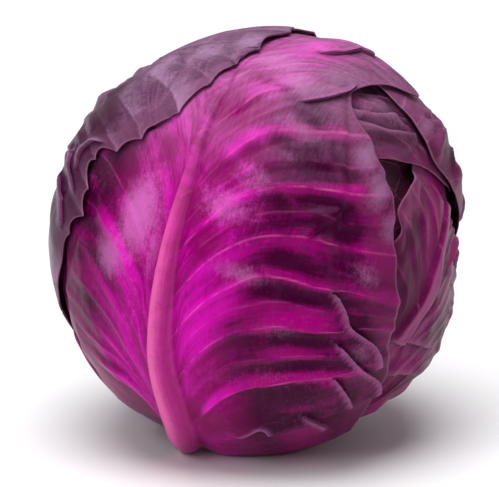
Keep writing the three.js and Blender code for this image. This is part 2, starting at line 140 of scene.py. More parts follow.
# %% The table of leaves
LEAVES = [
    dict(
        name="lower_right_leaf", turn=88, first=11, last=138, rise=30, fan=0.5,
        middle=[[10, 0], [140, 0]],
        foot_left=[[0, 11], [8, 12], [16, 13], [26, 16], [40, 22]],
        foot_right=[[0, 11], [8, 13], [16, 17], [26, 24], [40, 36]],
        left=[[20, 34], [35, 44], [55, 49], [75, 49], [100, 43], [125, 28], [140, 8]],
        right=[[30, 34], [50, 44], [75, 48], [100, 42], [125, 28], [140, 8]],
        rib=[[10, 4.4, 2.6], [70, 2.6, 1.8], [140, 1, 0.4]],
        veins=[20, 31, 42, 53, 65, 77, 89, 101, 113, 125],
        wave=1.3, curl=[[10, 0.4], [60, 1.6], [140, 1]], rows=90, columns=34,
    ),
    dict(
        name="left_leaf", turn=-85, first=11, last=133, rise=30, fan=0.5,
        middle=[[10, 0], [135, 0]],
        foot_left=[[0, 11], [8, 13], [16, 18], [26, 26], [40, 38]],
        foot_right=[[0, 11], [8, 12], [16, 13], [26, 15], [40, 20]],
        left=[[30, 32], [50, 42], [75, 46], [100, 40], [120, 26], [135, 8]],
        right=[[18, 38], [35, 47], [55, 52], [75, 52], [100, 44], [120, 28], [135, 8]],
        rib=[[10, 4.4, 2.6], [70, 2.6, 1.8], [135, 1, 0.4]],
        veins=[19, 28, 37, 46, 56, 66, 76, 87, 98, 110, 122],
        wave=1.3, curl=[[10, 0.4], [60, 1.6], [135, 1]], rows=100, columns=40,
    ),
    dict(
        name="right_leaf", turn=40, first=11, last=164, rise=31, fan=0.7,
        middle=[[10, -4], [40, 0], [79, 7], [92, 15], [105, 18], [119, 25], [140, 28], [165, 28]],
        foot_left=[[0, 11], [8, 12], [16, 13], [26, 17], [40, 26]],
        foot_right=[[0, 11], [4, 24], [8, 42], [13, 57], [19, 64], [26, 66], [34, 66]],
        left=[[25, 34], [45, 42], [70, 44], [92, 34], [104, 24], [110, 22], [116, 26], [121, 24],
              [128, 20],
              [142, 20], [158, 14], [166, 6]],
        right=[[60, 31], [70, 33], [90, 38], [115, 41], [138, 38], [156, 22], [166, 7]],
        rib=[[10, 4.6, 3], [80, 3, 2.2], [165, 1, 0.5]],
        veins=[19, 29, 39, 49, 59, 69, 78, 87, 96, 105, 114, 123, 134, 147],
        wave=2.2, curl=[[10, 0.4], [60, 1.5], [110, 2.6], [165, 1]], rows=190, columns=58,
    ),
    dict(
        name="crown_leaf", turn=180, first=11, last=230, rise=31, fan=0.35,
        middle=[[10, 0], [231, 0]],
        foot_left=[[0, 11], [8, 13], [16, 19], [26, 30], [40, 46]],
        foot_right=[[0, 11], [8, 13], [16, 19], [26, 30], [40, 46]],
        left=[[38, 34], [60, 46], [90, 56], [125, 62], [160, 64], [190, 61], [209, 53], [217, 42],
              [225, 27],
              [231, 12]],
        right=[[38, 34], [60, 44], [90, 54], [125, 58], [160, 56], [190, 48], [209, 36], [221, 22],
               [231, 11]],
        rib=[[10, 4.6, 3], [110, 3, 2], [231, 1, 0.4]],
        veins=[20, 32, 44, 57, 70, 83, 96, 110, 124, 138, 153, 168, 184, 200, 215],
        wave=1.6, curl=[[10, 0.4], [60, 1.6], [200, 2.2], [231, 1.6]], rows=220, columns=58,
    ),
    dict(
        name="right_back_leaf", turn=108, first=11, last=176, rise=31, fan=0.6,
        middle=[[10, 14], [60, 12], [100, 6], [130, 0], [178, -4]],
        foot_left=[[0, 11], [5, 24], [10, 38], [16, 50], [24, 66]],
        foot_right=[[0, 11], [5, 17], [12, 26], [24, 38], [40, 54]],
        left=[[50, 20], [70, 22], [90, 23], [110, 27], [122, 31], [131, 34], [141, 36], [148, 32],
              [158, 26],
              [170, 16], [178, 7]],
        right=[[38, 34], [60, 42], [90, 50], [120, 52], [150, 42], [168, 24], [178, 7]],
        rib=[[10, 4.6, 3], [80, 3, 1.2], [178, 1, 0.4]],
        veins=[20, 31, 42, 53, 64, 75, 86, 97, 109, 121, 134, 148, 162],
        wave=1.8, curl=[[10, 0.4], [60, 1.6], [130, 2.2], [178, 1.2]], rows=190, columns=58,
    ),
    dict(
        name="front_leaf", turn=-26, first=11, last=196, rise=31, fan=0.8,
        middle=[[10, 0], [20, 4], [40, 6.5], [65, 4], [90, 2], [115, 0], [133, -3], [150, -5], [170, -2],
                [198, 0]],
        foot_left=[[0, 11], [3, 22], [5, 34], [9, 43], [15, 47], [24, 46], [34, 46]],
        foot_right=[[0, 11], [5, 8], [12, 1], [20, -7], [32, -15]],
        left=[[44, 31], [58, 36], [75, 39], [95, 46], [120, 54], [150, 52], [175, 38], [190, 20],
              [198, 8]],
        right=[[-15, 30], [-3, 41], [10, 50], [22, 53], [40, 60], [65, 63], [85, 64], [102, 62],
               [129, 57], [140, 51],
               [148, 43], [157, 31], [171, 30], [188, 34], [195, 22], [198, 9]],
        rib=[[10, 4.2, 3.4], [56, 3.7, 4.2], [92, 2.3, 3], [140, 1.5, 1.7], [196, 1, 0.6]],
        veins=[14, 22, 30, 39, 49, 56, 63, 69, 75, 82, 89, 97, 106, 115, 124, 133, 142, 152, 164, 178],
        wave=3.0, curl=[[10, 0.6], [50, 3.2], [110, 4.2], [150, 2.6], [196, 1.6]], rows=300, columns=76,
    ),
    dict(
        name="left_back_leaf", turn=-118, first=11, last=178, rise=31, fan=0.35,
        middle=[[10, 0], [181, 0]],
        foot_left=[[0, 11], [5, 17], [12, 26], [24, 38], [40, 54]],
        foot_right=[[0, 11], [5, 26], [12, 38], [24, 46], [40, 52]],
        left=[[38, 34], [60, 44], [90, 54], [120, 56], [150, 50], [168, 36], [178, 18], [181, 9]],
        right=[[44, 37], [56, 46], [65, 53], [73, 57], [82, 60], [95, 65], [108, 62], [120, 57],
               [139, 61], [153, 59], [168, 51], [176, 36], [179, 20], [181, 9]],
        rib=[[10, 4.8, 3.6], [90, 3.2, 2.4], [181, 1, 0.5]],
        veins=[20, 31, 42, 53, 64, 75, 86, 96, 106, 116, 127, 138, 150, 163],
        wave=1.3, curl=[[10, 0.4], [60, 2.2], [120, 1.8], [181, 1.2]], rows=260, columns=76,
    ),
]
print("leaves:", [leaf["name"] for leaf in LEAVES])

# %% [markdown]
# ## Where a leaf lies
# Numpy works on whole grids of points at once, which makes a mesh of fifty thousand points quick. These
# functions turn a leaf's two angles into a direction, say how far inside its edges a direction falls, and
# count how many leaves lie under or over a point. A sheet is lifted by one layer for each leaf beneath it,
# and the lift builds up gently before the lower leaf's edge, as a real leaf bridges a step.

# %% Leaf coordinates and layers


def through(points, x, column=1):
    """A smooth curve through named points; column picks which number of each point is read"""
    at = np.array([p[0] for p in points], float)
    value = np.array([p[column] for p in points], float)
    slope = np.gradient(value) / np.gradient(at)
    x = np.clip(x, at[0], at[-1])
    i = np.clip(np.searchsorted(at, x, side="right") - 1, 0, len(at) - 2)
    width = at[i + 1] - at[i]
    t = (x - at[i]) / width
    u = 1 - t
    rise = (1 + 2 * t) * u * u * value[i] + t * t * (3 - 2 * t) * value[i + 1]
    return rise + t * u * width * (u * slope[i] - t * slope[i + 1])


def half_width(outline, a):
    """Degrees from the midrib to the margin; past the outline's last point it closes in fast"""
    return through(outline, a) - 3 * np.maximum(a - outline[-1][0], 0)


def leaf_axes(leaf):
    """The way out from the stem along the leaf's midrib, and the way across it"""
    c, s = math.cos(leaf["turn"] * DEG), math.sin(leaf["turn"] * DEG)
    return c * FRONT + s * SIDE, -s * FRONT + c * SIDE


def leaf_direction(leaf, a, b):
    out, across = leaf_axes(leaf)
    b = (b + through(leaf["middle"], a)) * DEG
    a = a * DEG
    up = np.cos(a)[..., None] * STEM_AXIS + np.sin(a)[..., None] * out
    return np.cos(b)[..., None] * up + np.sin(b)[..., None] * across


def leaf_angles(leaf, d):
    out, across = leaf_axes(leaf)
    a = np.arctan2(d @ out, d @ STEM_AXIS) / DEG
    a = np.where(a < -90, a + 360, a)
    b = np.arcsin(np.clip(d @ across, -1, 1)) / DEG - through(leaf["middle"], a)
    return a, b


def margin_depth(leaf, d):
    """Degrees inside the nearest edge of a leaf, negative outside it"""
    a, b = leaf_angles(leaf, d)
    shrink = np.cos(b * DEG)
    aside = np.abs(b)
    depths = []
    for side in ("left", "right"):
        outline, foot = leaf[side], leaf["foot_" + side]
        turn = (half_width(outline, a + 1) - half_width(outline, a - 1)) / 2 / shrink
        climb = (through(foot, aside + 1) - through(foot, aside - 1)) / 2 * shrink
        to_side = (half_width(outline, a) - aside) / np.hypot(1, turn)
        to_foot = (a - through(foot, aside)) * shrink / np.hypot(1, climb)
        depths.append(np.minimum(to_side, to_foot))
    depth = np.minimum(np.where(b < 0, *depths), (leaf["last"] - a) * shrink)
    return np.minimum(depth, 2 * (WIDEST - aside))


def layers(leaves, d):
    """How many of the leaves lie in a direction, with soft steps at their margins"""
    return sum((ease((margin_depth(leaf, d) + 20) / 16) for leaf in leaves), np.zeros(d.shape[:-1]))


def freedom(k, d, reach=4.5, soft=4):
    """1 where nothing lies over leaf k, 0 where a later leaf presses on it"""
    free = np.ones(d.shape[:-1])
    for leaf in LEAVES[k + 1:]:
        free *= 1 - ease((margin_depth(leaf, d) + reach) / soft)
    return free


def placed(d, radius, level):
    """Opens the leaf feet round the stem, then presses everything flat at its level over the floor"""
    along_stem = d @ STEM_AXIS
    polar = np.arccos(np.clip(along_stem, -1, 1)) / DEG
    opened = (polar ** 4 + FOOT_OPENING ** 4) ** 0.25 * DEG
    sideways = d - along_stem[..., None] * STEM_AXIS
    sideways /= np.maximum(np.linalg.norm(sideways, axis=-1), 1e-9)[..., None]
    turned = np.cos(opened)[..., None] * STEM_AXIS + np.sin(opened)[..., None] * sideways
    return pressed(CENTRE + radius[..., None] * turned, level)


def pressed(p, level):
    """Points kept over a level, with a soft bend where they meet it"""
    p = p.copy()
    x = (p[..., 2] - level) / FLOOR_SOFTNESS
    p[..., 2] = level + FLOOR_SOFTNESS * np.logaddexp(0, x)
    return p


print("layers over the front:", layers(LEAVES, FRONT[None, :]))

# %% [markdown]
# ## The rows of a leaf
# A grid for a leaf should follow its veins, so that a ridge runs along mesh edges and stays crisp. Each
# row starts at the midrib and sweeps out and up as a side vein does; the first row is the blade's lower
# edge.

# %% Rows that follow the veins


def raked(leaf, row, aside):
    """How far along a side vein has climbed at this distance from the midrib"""
    fade = 1 - ease((row - leaf["last"] + 85) / 85)
    a = row + leaf["rise"] * fade * (1 - np.exp(-((aside / 13) ** 1.25)))
    beyond = np.where(a > 90, leaf["fan"] * fade * np.minimum(a - 90, 60), 0.12 * (a - 90))
    return a + beyond * (1 / np.cos(np.minimum(aside, 75) * DEG) - 1)


def sweep(leaf, side, row, aside):
    """The same for a row of the grid, which follows the blade's lower edge first and the veins later"""
    foot = leaf["foot_left"] if side < 0 else leaf["foot_right"]
    first = np.float64(leaf["first"])
    edge = through(foot, aside) - raked(leaf, first, aside)
    most = max(a - raked(leaf, first, np.float64(b)) for b, a in foot)
    return raked(leaf, row, aside) + edge * (1 - ease((row - first) / max(1.7 * most, 16)))


def row_ends(leaf, side, rows):
    """Where each row meets the margin, in degrees aside"""
    outline = leaf["left"] if side < 0 else leaf["right"]
    b = np.arange(0.5, 84, 0.25)
    past = b[None, :] - half_width(outline, sweep(leaf, side, rows[:, None], b[None, :]))
    i = np.argmax(past > 0, axis=1)
    at = np.arange(len(rows))
    before, after = past[at, np.maximum(i - 1, 0)], past[at, i]
    share = np.where(i > 0, -before / np.maximum(after - before, 1e-9), 0)
    return b[np.maximum(i - 1, 0)] + 0.25 * np.clip(share, 0, 1)


print("front leaf, ends of three rows:", row_ends(LEAVES[5], 1, np.array([30.0, 80.0, 140.0])).round(1))

# %% [markdown]
# ## Crumpling
# No leaf is smooth. A lattice of random values, blended smoothly between its points, gives soft lumps of
# any size we ask for. The second field finds the nearest and second nearest of scattered seeds: the
# difference between the two distances is zero along the walls between cells, where the small veins of a
# leaf run, and grows inside a cell, where the blade bulges. Both are seeded, so they come out the same on
# every run.

# %% Noise fields
LATTICE = 40


def lumps(points, size, seed):
    """Soft lumps of about this size in mm, from -1 to 1"""
    lattice = np.random.default_rng(seed).uniform(-1, 1, (LATTICE, LATTICE, LATTICE))
    p = points / size + LATTICE / 2
    cell = np.floor(p).astype(int)
    t = ease(p - cell)
    total = 0
    for corner in np.ndindex(2, 2, 2):
        weight = np.prod(np.where(np.array(corner) == 1, t, 1 - t), axis=-1)
        index = (cell + np.array(corner)) % LATTICE
        total = total + weight * lattice[index[..., 0], index[..., 1], index[..., 2]]
    return total


def cell_walls(points, size, seed):
    """Millimetres to the nearest wall between cells of this size, and a number from 0 to 1 for each cell"""
    jitter = np.random.default_rng(seed).uniform(0, 1, (LATTICE, LATTICE, LATTICE, 4))
    p = points / size + LATTICE / 2
    cell = np.floor(p).astype(int)
    near = np.full(p.shape[:-1], 9.0)
    second = near.copy()
    tint = np.zeros(near.shape)
    for step in np.ndindex(3, 3, 3):
        neighbour = cell + np.array(step) - 1
        index = neighbour % LATTICE
        found = jitter[index[..., 0], index[..., 1], index[..., 2]]
        distance = np.linalg.norm(p - neighbour - found[..., :3], axis=-1)
        second = np.minimum(second, np.maximum(near, distance))
        tint = np.where(distance < near, found[..., 3], tint)
        near = np.minimum(near, distance)
    return (second - near) / 2 * size, tint


print("noise at one point:", lumps(np.zeros((1, 3)), 10, 1).round(3))

# %% [markdown]
# ## Creases and torn lips
# The front leaf has several places where the blade has folded and one part stands proud of the next, with
# a thin pale lip and a dark slit behind it. Each is a path in the leaf's own angles. Points on one side of
# it are raised and pushed a little over the path, which makes a real overhang and a real shadow; the slit
# is also painted in shadow colour, and the lip with a pale highlight. Points near the path are first drawn
# onto it, so the lip doesn't show the steps of the grid.

# %% Fold paths
MM_PER_DEGREE = 1.42
# path of (along, aside) points, the raised side, then height, reach of the raised part and overhang in mm
FOLDS = {
    "front_leaf": [
        ([(96, 42), (87, 48), (80, 49), (75, 53), (69, 57), (59, 58), (46, 56)], 1, 2.6, 9, 1.5),
        ([(76, 45), (67, 49), (57, 52), (48, 54), (38, 55), (26, 53)], 1, 3.2, 10, 1.5),
        ([(61, 44), (53, 45), (42, 46), (30, 46)], 1, 2.8, 9, 1.3),
        ([(41, 33), (34, 36), (27, 38.5), (20, 41)], 1, 2.2, 8, 0.7),
        ([(30, 13), (34, 19), (37, 22), (35, 24.5), (28, 25)], -1, 2.0, 8, 0.8),
        ([(143, 20), (149, 25), (156, 28), (164, 27)], -1, 2.2, 12, 1.2),
        ([(165, 11), (171, 16), (180, 15.5), (190, 18)], -1, 2.0, 9, 1.0),
    ],
    "left_back_leaf": [
        ([(130, 56), (123, 50), (114, 49), (106, 53)], 1, 1.9, 5, 1.0),
        ([(114, 41), (106, 49), (99, 58)], 1, 1.7, 4, 0.4),
        ([(102, 43), (93, 51), (80, 55)], 1, 1.8, 4, 0.9),
    ],
    "crown_leaf": [
        ([(209, -10), (213, -17), (212, -22), (208, -27), (203, -32)], 1, 1.3, 4, 0.6),
        ([(206, -14), (203, -20), (199, -26), (196, -32)], 1, 1.2, 4, 0.6),
        ([(214, -14), (217, -20), (216, -27), (211, -34)], 1, 1.2, 4, 0.6),
    ],
    "right_back_leaf": [
        ([(150, -24), (138, -25), (124, -22), (112, -20)], 1, 1.8, 8, 1.0),
    ],
    "right_leaf": [
        ([(80, -5), (80, 3), (79, 10), (76, 20)], -1, 0.9, 6, 0.4),
        ([(65, 0), (70, 6), (70, 13), (67, 22)], -1, 1.6, 7, 0.8),
    ],
}
# soft ridges: path, height, and reach in mm on either side
RIDGES = {
    "front_leaf": [
        ([(108, 32), (103, 40), (102, 45), (102, 50), (101, 55), (98, 60)], 2.2, 9, 3.5),
        ([(114, 30), (115, 40), (118, 46), (124, 53)], 1.3, 7, 3.5),
        ([(152, 34), (145, 41), (138, 47), (131, 53), (126, 59)], 1.9, 4.5, 5.5),
        ([(136, 0), (139, 7), (141, 13), (142, 20), (144, 27), (145, 35)], 1.6, 2.5, 7),
        ([(145, 38), (138, 29), (132, 22), (128, 18), (124, 15), (118, 11), (110, 5)], -1.0, 6, 3),
        ([(142, 1), (149, 8), (153, 16), (158, 24)], 1.2, 3, 6),
        ([(88, 50), (84, 54), (82, 59)], 1.2, 4, 4),
        ([(66, 61), (55, 61), (44, 58)], 1.0, 2, 3),
        ([(40, -12), (60, -22), (80, -30), (98, -36)], 1.0, 5, 8),
    ],
    "right_leaf": [
        ([(128, -10), (110, -4), (92, 4), (76, 16)], 1.4, 5, 9),
        ([(70, 10), (76, 20), (84, 28)], 1.2, 4, 8),
    ],
    "crown_leaf": [
        ([(225, -20), (222, -27), (217, -33), (212, -40)], 1.2, 3, 4),
    ],
    "right_back_leaf": [
        ([(136, -4), (139, -10), (142, -26), (141, -36)], 1.7, 2.5, 4.5),
        ([(156, -22), (151, -27), (146, -26), (141, -31)], 1.5, 3, 3),
        ([(128, -30), (124, -14), (126, 0)], 1.5, 4, 6),
    ],
}


def along_path(points, corners):
    """Distance to a path, positive on its left, how far along it, its whole length, and its left normal"""
    lengths = np.linalg.norm(np.diff(corners, axis=0), axis=1)
    best = np.full(points.shape[:-1], 1e9)
    signed = np.zeros(best.shape)
    run = np.zeros(best.shape)
    normal = np.zeros(points.shape)
    for i, length in enumerate(lengths):
        way = (corners[i + 1] - corners[i]) / length
        offset = points - corners[i]
        at = np.clip(offset @ way, 0, length)
        gap = offset - at[..., None] * way
        distance = np.linalg.norm(gap, axis=-1)
        left = np.array([-way[1], way[0]])
        closer = distance < best
        best = np.where(closer, distance, best)
        signed = np.where(closer, np.where(gap @ left < 0, -distance, distance), signed)
        run = np.where(closer, lengths[:i].sum() + at, run)
        normal = np.where(closer[..., None], left, normal)
    return signed, run, lengths.sum(), normal


def rounded(path):
    """The same path with its corners cut twice, so it bends smoothly"""
    path = np.array(path, float)
    for _ in range(2):
        before, after = path[:-1], path[1:]
        cut = np.stack([0.75 * before + 0.25 * after, 0.25 * before + 0.75 * after], 1).reshape(-1, 2)
        path = np.concatenate([path[:1], cut[1:-1], path[-1:]])
    return path


def fold(a, b, path, raised_side, height, reach, over):
    """The angles, shifted near a fold, with its lift in mm, its lip, where the slit behind it is painted in
    shadow, and its nearness
    """
    path = rounded(path)
    shrink = math.cos(abs(path[:, 1].mean()) * DEG)
    scale = np.array([MM_PER_DEGREE * shrink, MM_PER_DEGREE])
    points = np.stack([a, b], axis=-1) * scale
    signed, run, length, normal = along_path(points, path * scale)
    signed = signed * raised_side
    normal = normal * raised_side
    apart = np.abs(signed)
    fade = ease(run / 7) * ease((length - run) / 7)
    raised = signed > 0
    drawn_in = np.interp(apart, [0, 1.3, 3.6, 999], [0, 0.12, 3.6, 999])
    best = apart + (drawn_in - apart) * fade
    overhang = np.where(raised, over * np.exp(-best / 1.6) * fade, 0)
    shift = np.where(raised, best - apart, apart - best) - overhang
    moved = points + shift[..., None] * normal
    lift = np.where(raised, height * np.exp(-((best / reach) ** 1.3)), -0.25 * np.exp(-best / 2)) * fade
    # where the lip's pale rim is painted as a highlight
    lip = np.where(raised, np.exp(-((best / 0.8) ** 2)), 0) * fade
    # where the shadow in the slit beside the raised part is painted
    slit_shadow = np.where(raised, 0, np.exp(-best / 2.2)) * fade
    near = np.exp(-((best / 8) ** 2)) * fade
    return moved[..., 0] / scale[0], moved[..., 1] / scale[1], lift, lip, slit_shadow, near


def ridge_lift(a, b, path, height, left_reach, right_reach):
    """The lift in mm of a soft ridge along a path, which fades out at both ends"""
    path = rounded(path)
    scale = np.array([MM_PER_DEGREE * math.cos(abs(path[:, 1].mean()) * DEG), MM_PER_DEGREE])
    signed, run, length, _ = along_path(np.stack([a, b], axis=-1) * scale, path * scale)
    reach = np.where(signed > 0, left_reach, right_reach)
    ends = ease(run / 12 + 0.05) * ease((length - run) / 12 + 0.05)
    return height * np.exp(-(np.abs(signed) / reach) ** 1.5) * ends


print("folds:", {name: len(paths) for name, paths in FOLDS.items()})

# %% [markdown]
# ## What each leaf shows
# The leaves of one head differ: the front one is smooth with strong veins, the outermost is blistered,
# those at the crown are crumpled. Tables keep these differences out of the code. Pale patches are where
# wax bloom is thick, in part painted highlights; dark ones are partly darker skin and partly painted
# shade, in hollows and in the gaps under the edges of other leaves.

# %% Relief and patches of each leaf
MM = 0.001
# how strongly each side vein of the front leaf stands out, to the left and to the right of its midrib
FRONT_VEINS = {
    -1: [(14, 0.5), (24, 0.3), (34, 0.5), (43, 0.45), (55, 0.35), (66, 0.25), (79, 0.4), (95, 0.3),
         (112, 0.5),
         (130, 0.4), (150, 0.5), (172, 0.4)],
    1: [(14, 1), (22, 0.25), (30, 1), (39, 0.35), (49, 1), (56, 0.3), (63, 1), (75, 0.95), (82, 0.3),
        (89, 1),
        (97, 0.3), (106, 1), (115, 0.3), (124, 0.8), (133, 0.3), (142, 0.8), (152, 0.3), (164, 0.8),
        (178, 0.6)],
}
RELIEF = {
    "front_leaf": dict(bulge=0.15, lump=1.3, crease=0.2, fine=0.12, cell=11, loose=0.7, left_curl=0.25),
    "left_back_leaf": dict(bulge=0.9, lump=0.5, crease=0.15, fine=0.12, cell=15, loose=0.2),
    "crown_leaf": dict(bulge=0.25, lump=1.5, crease=1.9, fine=0.9, cell=11, loose=0.5, apart=12),
    "right_back_leaf": dict(bulge=0.25, lump=1.3, crease=1.8, fine=0.7, cell=13, loose=0.1, apart=13),
    "right_leaf": dict(bulge=0.2, lump=1.1, crease=1.0, fine=0.2, cell=12, loose=0.6, apart=16),
    "left_leaf": dict(bulge=0.2, lump=1.0, crease=0.5, fine=0.12, cell=12, loose=0.3),
    "lower_right_leaf": dict(bulge=0.2, lump=1.0, crease=0.5, fine=0.12, cell=12, loose=0.3),
}
# where the visible margin lies closer than that of the solid model
CURL = {
    "front_leaf": [
        [10, 0.3], [40, 0.8], [55, 2.6], [66, 3.8], [80, 3.0], [96, 1.2], [115, 0.5], [196, 0.2],
    ],
    "left_back_leaf": [[10, 0.3], [60, 0.6], [120, 0.2], [181, 0.1]],
    "right_back_leaf": [[10, 0.4], [60, 0.5], [100, 0.1], [178, 0.0]],
    "crown_leaf": [[10, 0.4], [60, 1.2], [150, 0.8], [231, 0.3]],
}
# patches of a leaf's skin, as along, aside, size in mm up and across, and amount
# pale patches: wax bloom, in part painted highlights
WAX_AND_SHEEN_PATCHES = {
    "front_leaf": [
        (99, -11, 17, 9, 1.0), (85, -18, 9, 8, 0.9), (108, 12, 7, 12, 0.7), (117, 16, 6, 9, 0.5),
        (92, 20, 4, 12, 0.6), (77, 34, 4, 9, 0.45), (137, 24, 4, 12, 0.6), (150, 19, 6, 14, 0.9),
        (156, 8, 8, 12, 0.9), (160, 24, 8, 8, 0.8), (119, 18, 5, 9, 0.6), (128, 24, 3, 8, 0.4),
        (92, -5, 15, 4, 0.5), (110, 14, 4, 8, 0.5), (143, 43, 7, 5, 0.9), (135, 49, 7, 5.5, 0.9),
        (127, 56, 6, 5, 0.8), (104, 52, 6, 7, 0.5), (66, 53, 8, 6, 0.5),
    ],
    "left_back_leaf": [
        (150, 33, 8, 13, 0.75), (163, 27, 8, 13, 0.85), (139, 38, 6, 10, 0.45), (173, 20, 8, 14, 0.8),
    ],
    "crown_leaf": [(209, -24, 5, 12, 0.6), (200, -36, 6, 10, 0.5)],
    "right_back_leaf": [(148, -28, 4, 7, 0.8), (139, -16, 4, 6, 0.6)],
    "right_leaf": [(94, 1, 14, 3, 0.8), (84, 6, 10, 3, 0.6), (76, 12, 4, 9, 0.5), (106, 8, 10, 2.5, 0.6)],
}
# dark patches: partly darker skin, partly painted shade in hollows and in gaps under other leaves' edges
DARK_AND_SHADE_PATCHES = {
    "front_leaf": [
        (122, 37, 8, 13, 1.0), (110, 44, 7, 10, 0.8), (99, 33, 4, 12, 0.7), (88, 34, 4, 12, 0.7),
        (76, 38, 5, 12, 0.9), (108, -22, 11, 8, 0.8), (118, -8, 7, 4, 0.6), (64, 36, 5, 12, 0.8),
        (133, 13, 5, 8, 0.5), (50, 34, 6, 12, 0.6), (38, 30, 5, 14, 0.7), (80, 56, 6, 6, 0.6),
        (115, 24, 4, 10, 0.5), (134, 6, 7, 9, 1.0), (136, 14, 5, 9, 0.8), (131, 33, 8, 10, 1.1),
        (130, 22, 5, 9, 1.0), (125, 15, 5, 8, 0.9), (117, 9, 6, 7, 0.8), (147, 12, 2.5, 12, 0.6),
        (105, 4, 7, 6, 0.6), (97, 9, 7, 6, 0.6), (41, 8, 9, 6, 0.8), (141, 26, 2.5, 8, 0.6),
    ],
    "left_back_leaf": [
        (128, 40, 9, 18, 1.0), (112, 52, 10, 14, 0.9), (92, 56, 14, 12, 0.8), (75, 52, 12, 12, 0.6),
    ],
    "crown_leaf": [(201, -22, 3.5, 9, 0.8), (206, -32, 5, 8, 0.6), (219, -26, 3, 8, 0.6)],
    "right_leaf": [
        (106, -16, 14, 6, 0.9), (96, -12, 12, 6, 1.1), (86, -8, 12, 7, 1.3), (62, 16, 7, 14, 0.9),
        (99, 6, 12, 4, 0.6), (84, 14, 6, 8, 0.6),
    ],
    "right_back_leaf": [(143, -34, 7, 5, 0.8), (135, -28, 6, 6, 0.7), (144, -7, 5, 6, 0.7)],
}
# a middle point of the blade, how deep its margin is cut in mm, and where the teeth stand round that point
TEETH = {
    "left_back_leaf": (
        (110, 8), 3.6,
        [-136, -121, -108, -93, -79, -66, -51, -38, -26, -13, -2, 12, 20, 28, 38, 52, 65, 78, 92, 106, 120,
         136],
    ),
}
RIB_COLUMNS = 6
print("patches:", {name: len(table) for name, table in DARK_AND_SHADE_PATCHES.items()})

# %% [markdown]
# ## Veins and margin
# The side veins of a real leaf wander, and its margin is never a clean line. The outermost leaf has teeth,
# and rows of blisters run inwards from them, each of its own tone, painted in shade at one side and with
# light at the other, like overlapping scales. The teeth are cut by drawing points near the margin in
# towards the middle of the blade, so the grid stays whole.

# %% Veins, teeth and blisters
# reach of a side vein's broad crest in degrees, above and below it, and a distance that means no vein
CREST_ABOVE = 3.4
CREST_BELOW = 2.3
NO_VEIN = 99.0


def vein_list(leaf, side):
    """The row and strength of each side vein on one side of a leaf"""
    if leaf["name"] == "front_leaf":
        return FRONT_VEINS[side]
    return [(row, 1 if i % 2 else 0.65) for i, row in enumerate(leaf["veins"])]


def wander(leaf, row, aside, here):
    """The side veins don't run straight, and less so towards the margin"""
    k = LEAVES.index(leaf)
    loose = 0.8 + 2.4 * ease((aside - 12) / 35)
    return row + loose * lumps(here, 27, 11 + k) + 0.6 * lumps(here, 10, 12 + k)


def margin_cut(leaf, side, rows, ends):
    """Millimetres taken off the blade's margin, which leave it ragged; a toothed leaf keeps most of it"""
    edge = leaf_direction(leaf, sweep(leaf, side, rows, ends), side * ends) * SKIN_RADIUS
    run = np.concatenate([[0], np.cumsum(np.linalg.norm(np.diff(edge, axis=0), axis=1))])
    line = np.stack([run, np.full(len(run), 50.0 * side), np.full(len(run), float(leaf["turn"]))], -1)
    ragged = 0.55 * (1 + lumps(line, 9, 5)) + 0.3 * (1 + lumps(line, 3.2, 6))
    return ragged * (0.3 if leaf["name"] in TEETH else 1.0) * ease((rows - leaf["first"]) / 12)


def toothed(leaf, a, b):
    """Cuts hollows between teeth: points near the margin are drawn towards a middle point of the blade"""
    centre, depth, places = TEETH[leaf["name"]]
    x, y = a - centre[0], b - centre[1]
    angle, reach = np.arctan2(y, x) / DEG, np.hypot(x, y)
    rim = [np.concatenate([grid[:, 0], grid[-1], grid[::-1, -1]]) for grid in (angle, reach)]
    order = np.argsort(rim[0])
    edge = np.interp(angle, rim[0][order], rim[1][order])
    between = np.interp(angle, places, np.arange(len(places)))
    cut = depth / MM_PER_DEGREE * np.abs(np.sin(math.pi * between)) ** 0.7
    cut = cut * ease((135 - np.abs(angle)) / 15)
    shrink = 1 - cut * ease((reach / edge - 0.7) / 0.3) / np.maximum(reach, 1)
    return centre[0] + x * shrink, centre[1] + y * shrink, between, reach / edge


def facets(between, out, here, walls, tint):
    """Two rings of blisters in line with the teeth, inside the margin, and scattered cells further in"""
    bent = between + 1.1 * (1 - out) * (0.4 + lumps(here, 24, 55))
    column = np.floor(bent).astype(int) % 64
    numbers = np.random.default_rng(9).uniform(0, 1, (4, 64))
    start = 0.38 + 0.2 * numbers[0][column] + 0.08 * lumps(here, 12, 57)
    ring = np.clip(np.floor((out - start) / 0.27), 0, 1).astype(int)
    side_wall = np.abs(bent - np.round(bent)) * 13 * out
    ring_wall = np.minimum(np.abs(out - start), np.abs(out - start - 0.27)) * 95
    outside = out > start
    walls = np.where(outside, np.minimum(side_wall, ring_wall), np.minimum(walls, ring_wall))
    # each blister has a tone of its own, with painted shade at one side and painted light at the other, like
    # overlapping scales
    scale_shade_and_tone = 0.5 * numbers[1 + ring, column] + 0.5 * (bent - np.floor(bent))
    tint = np.where(outside, scale_shade_and_tone, 0.33 + 0.34 * tint)
    tint = 0.5 + (tint - 0.5) * (0.35 + 0.65 * ease((out - 0.45) / 0.3))
    return walls, tint, np.where(outside, side_wall, 9.0), np.where(outside, ring_wall, walls)


print("teeth:", len(TEETH["left_back_leaf"][2]))

# %% [markdown]
# ## The grid of a leaf
# Where the sweep of the veins fans out, rows of an even spacing would leave the mesh coarse, so they are
# spaced by how far apart they spread. The grid has an outer and an inner skin, joined round the edge,
# which makes a closed sheet. What the relief is made of is kept as named attributes on the mesh, and the
# finishes read them, so colour and shape agree.

# %% Grid, faces and mesh


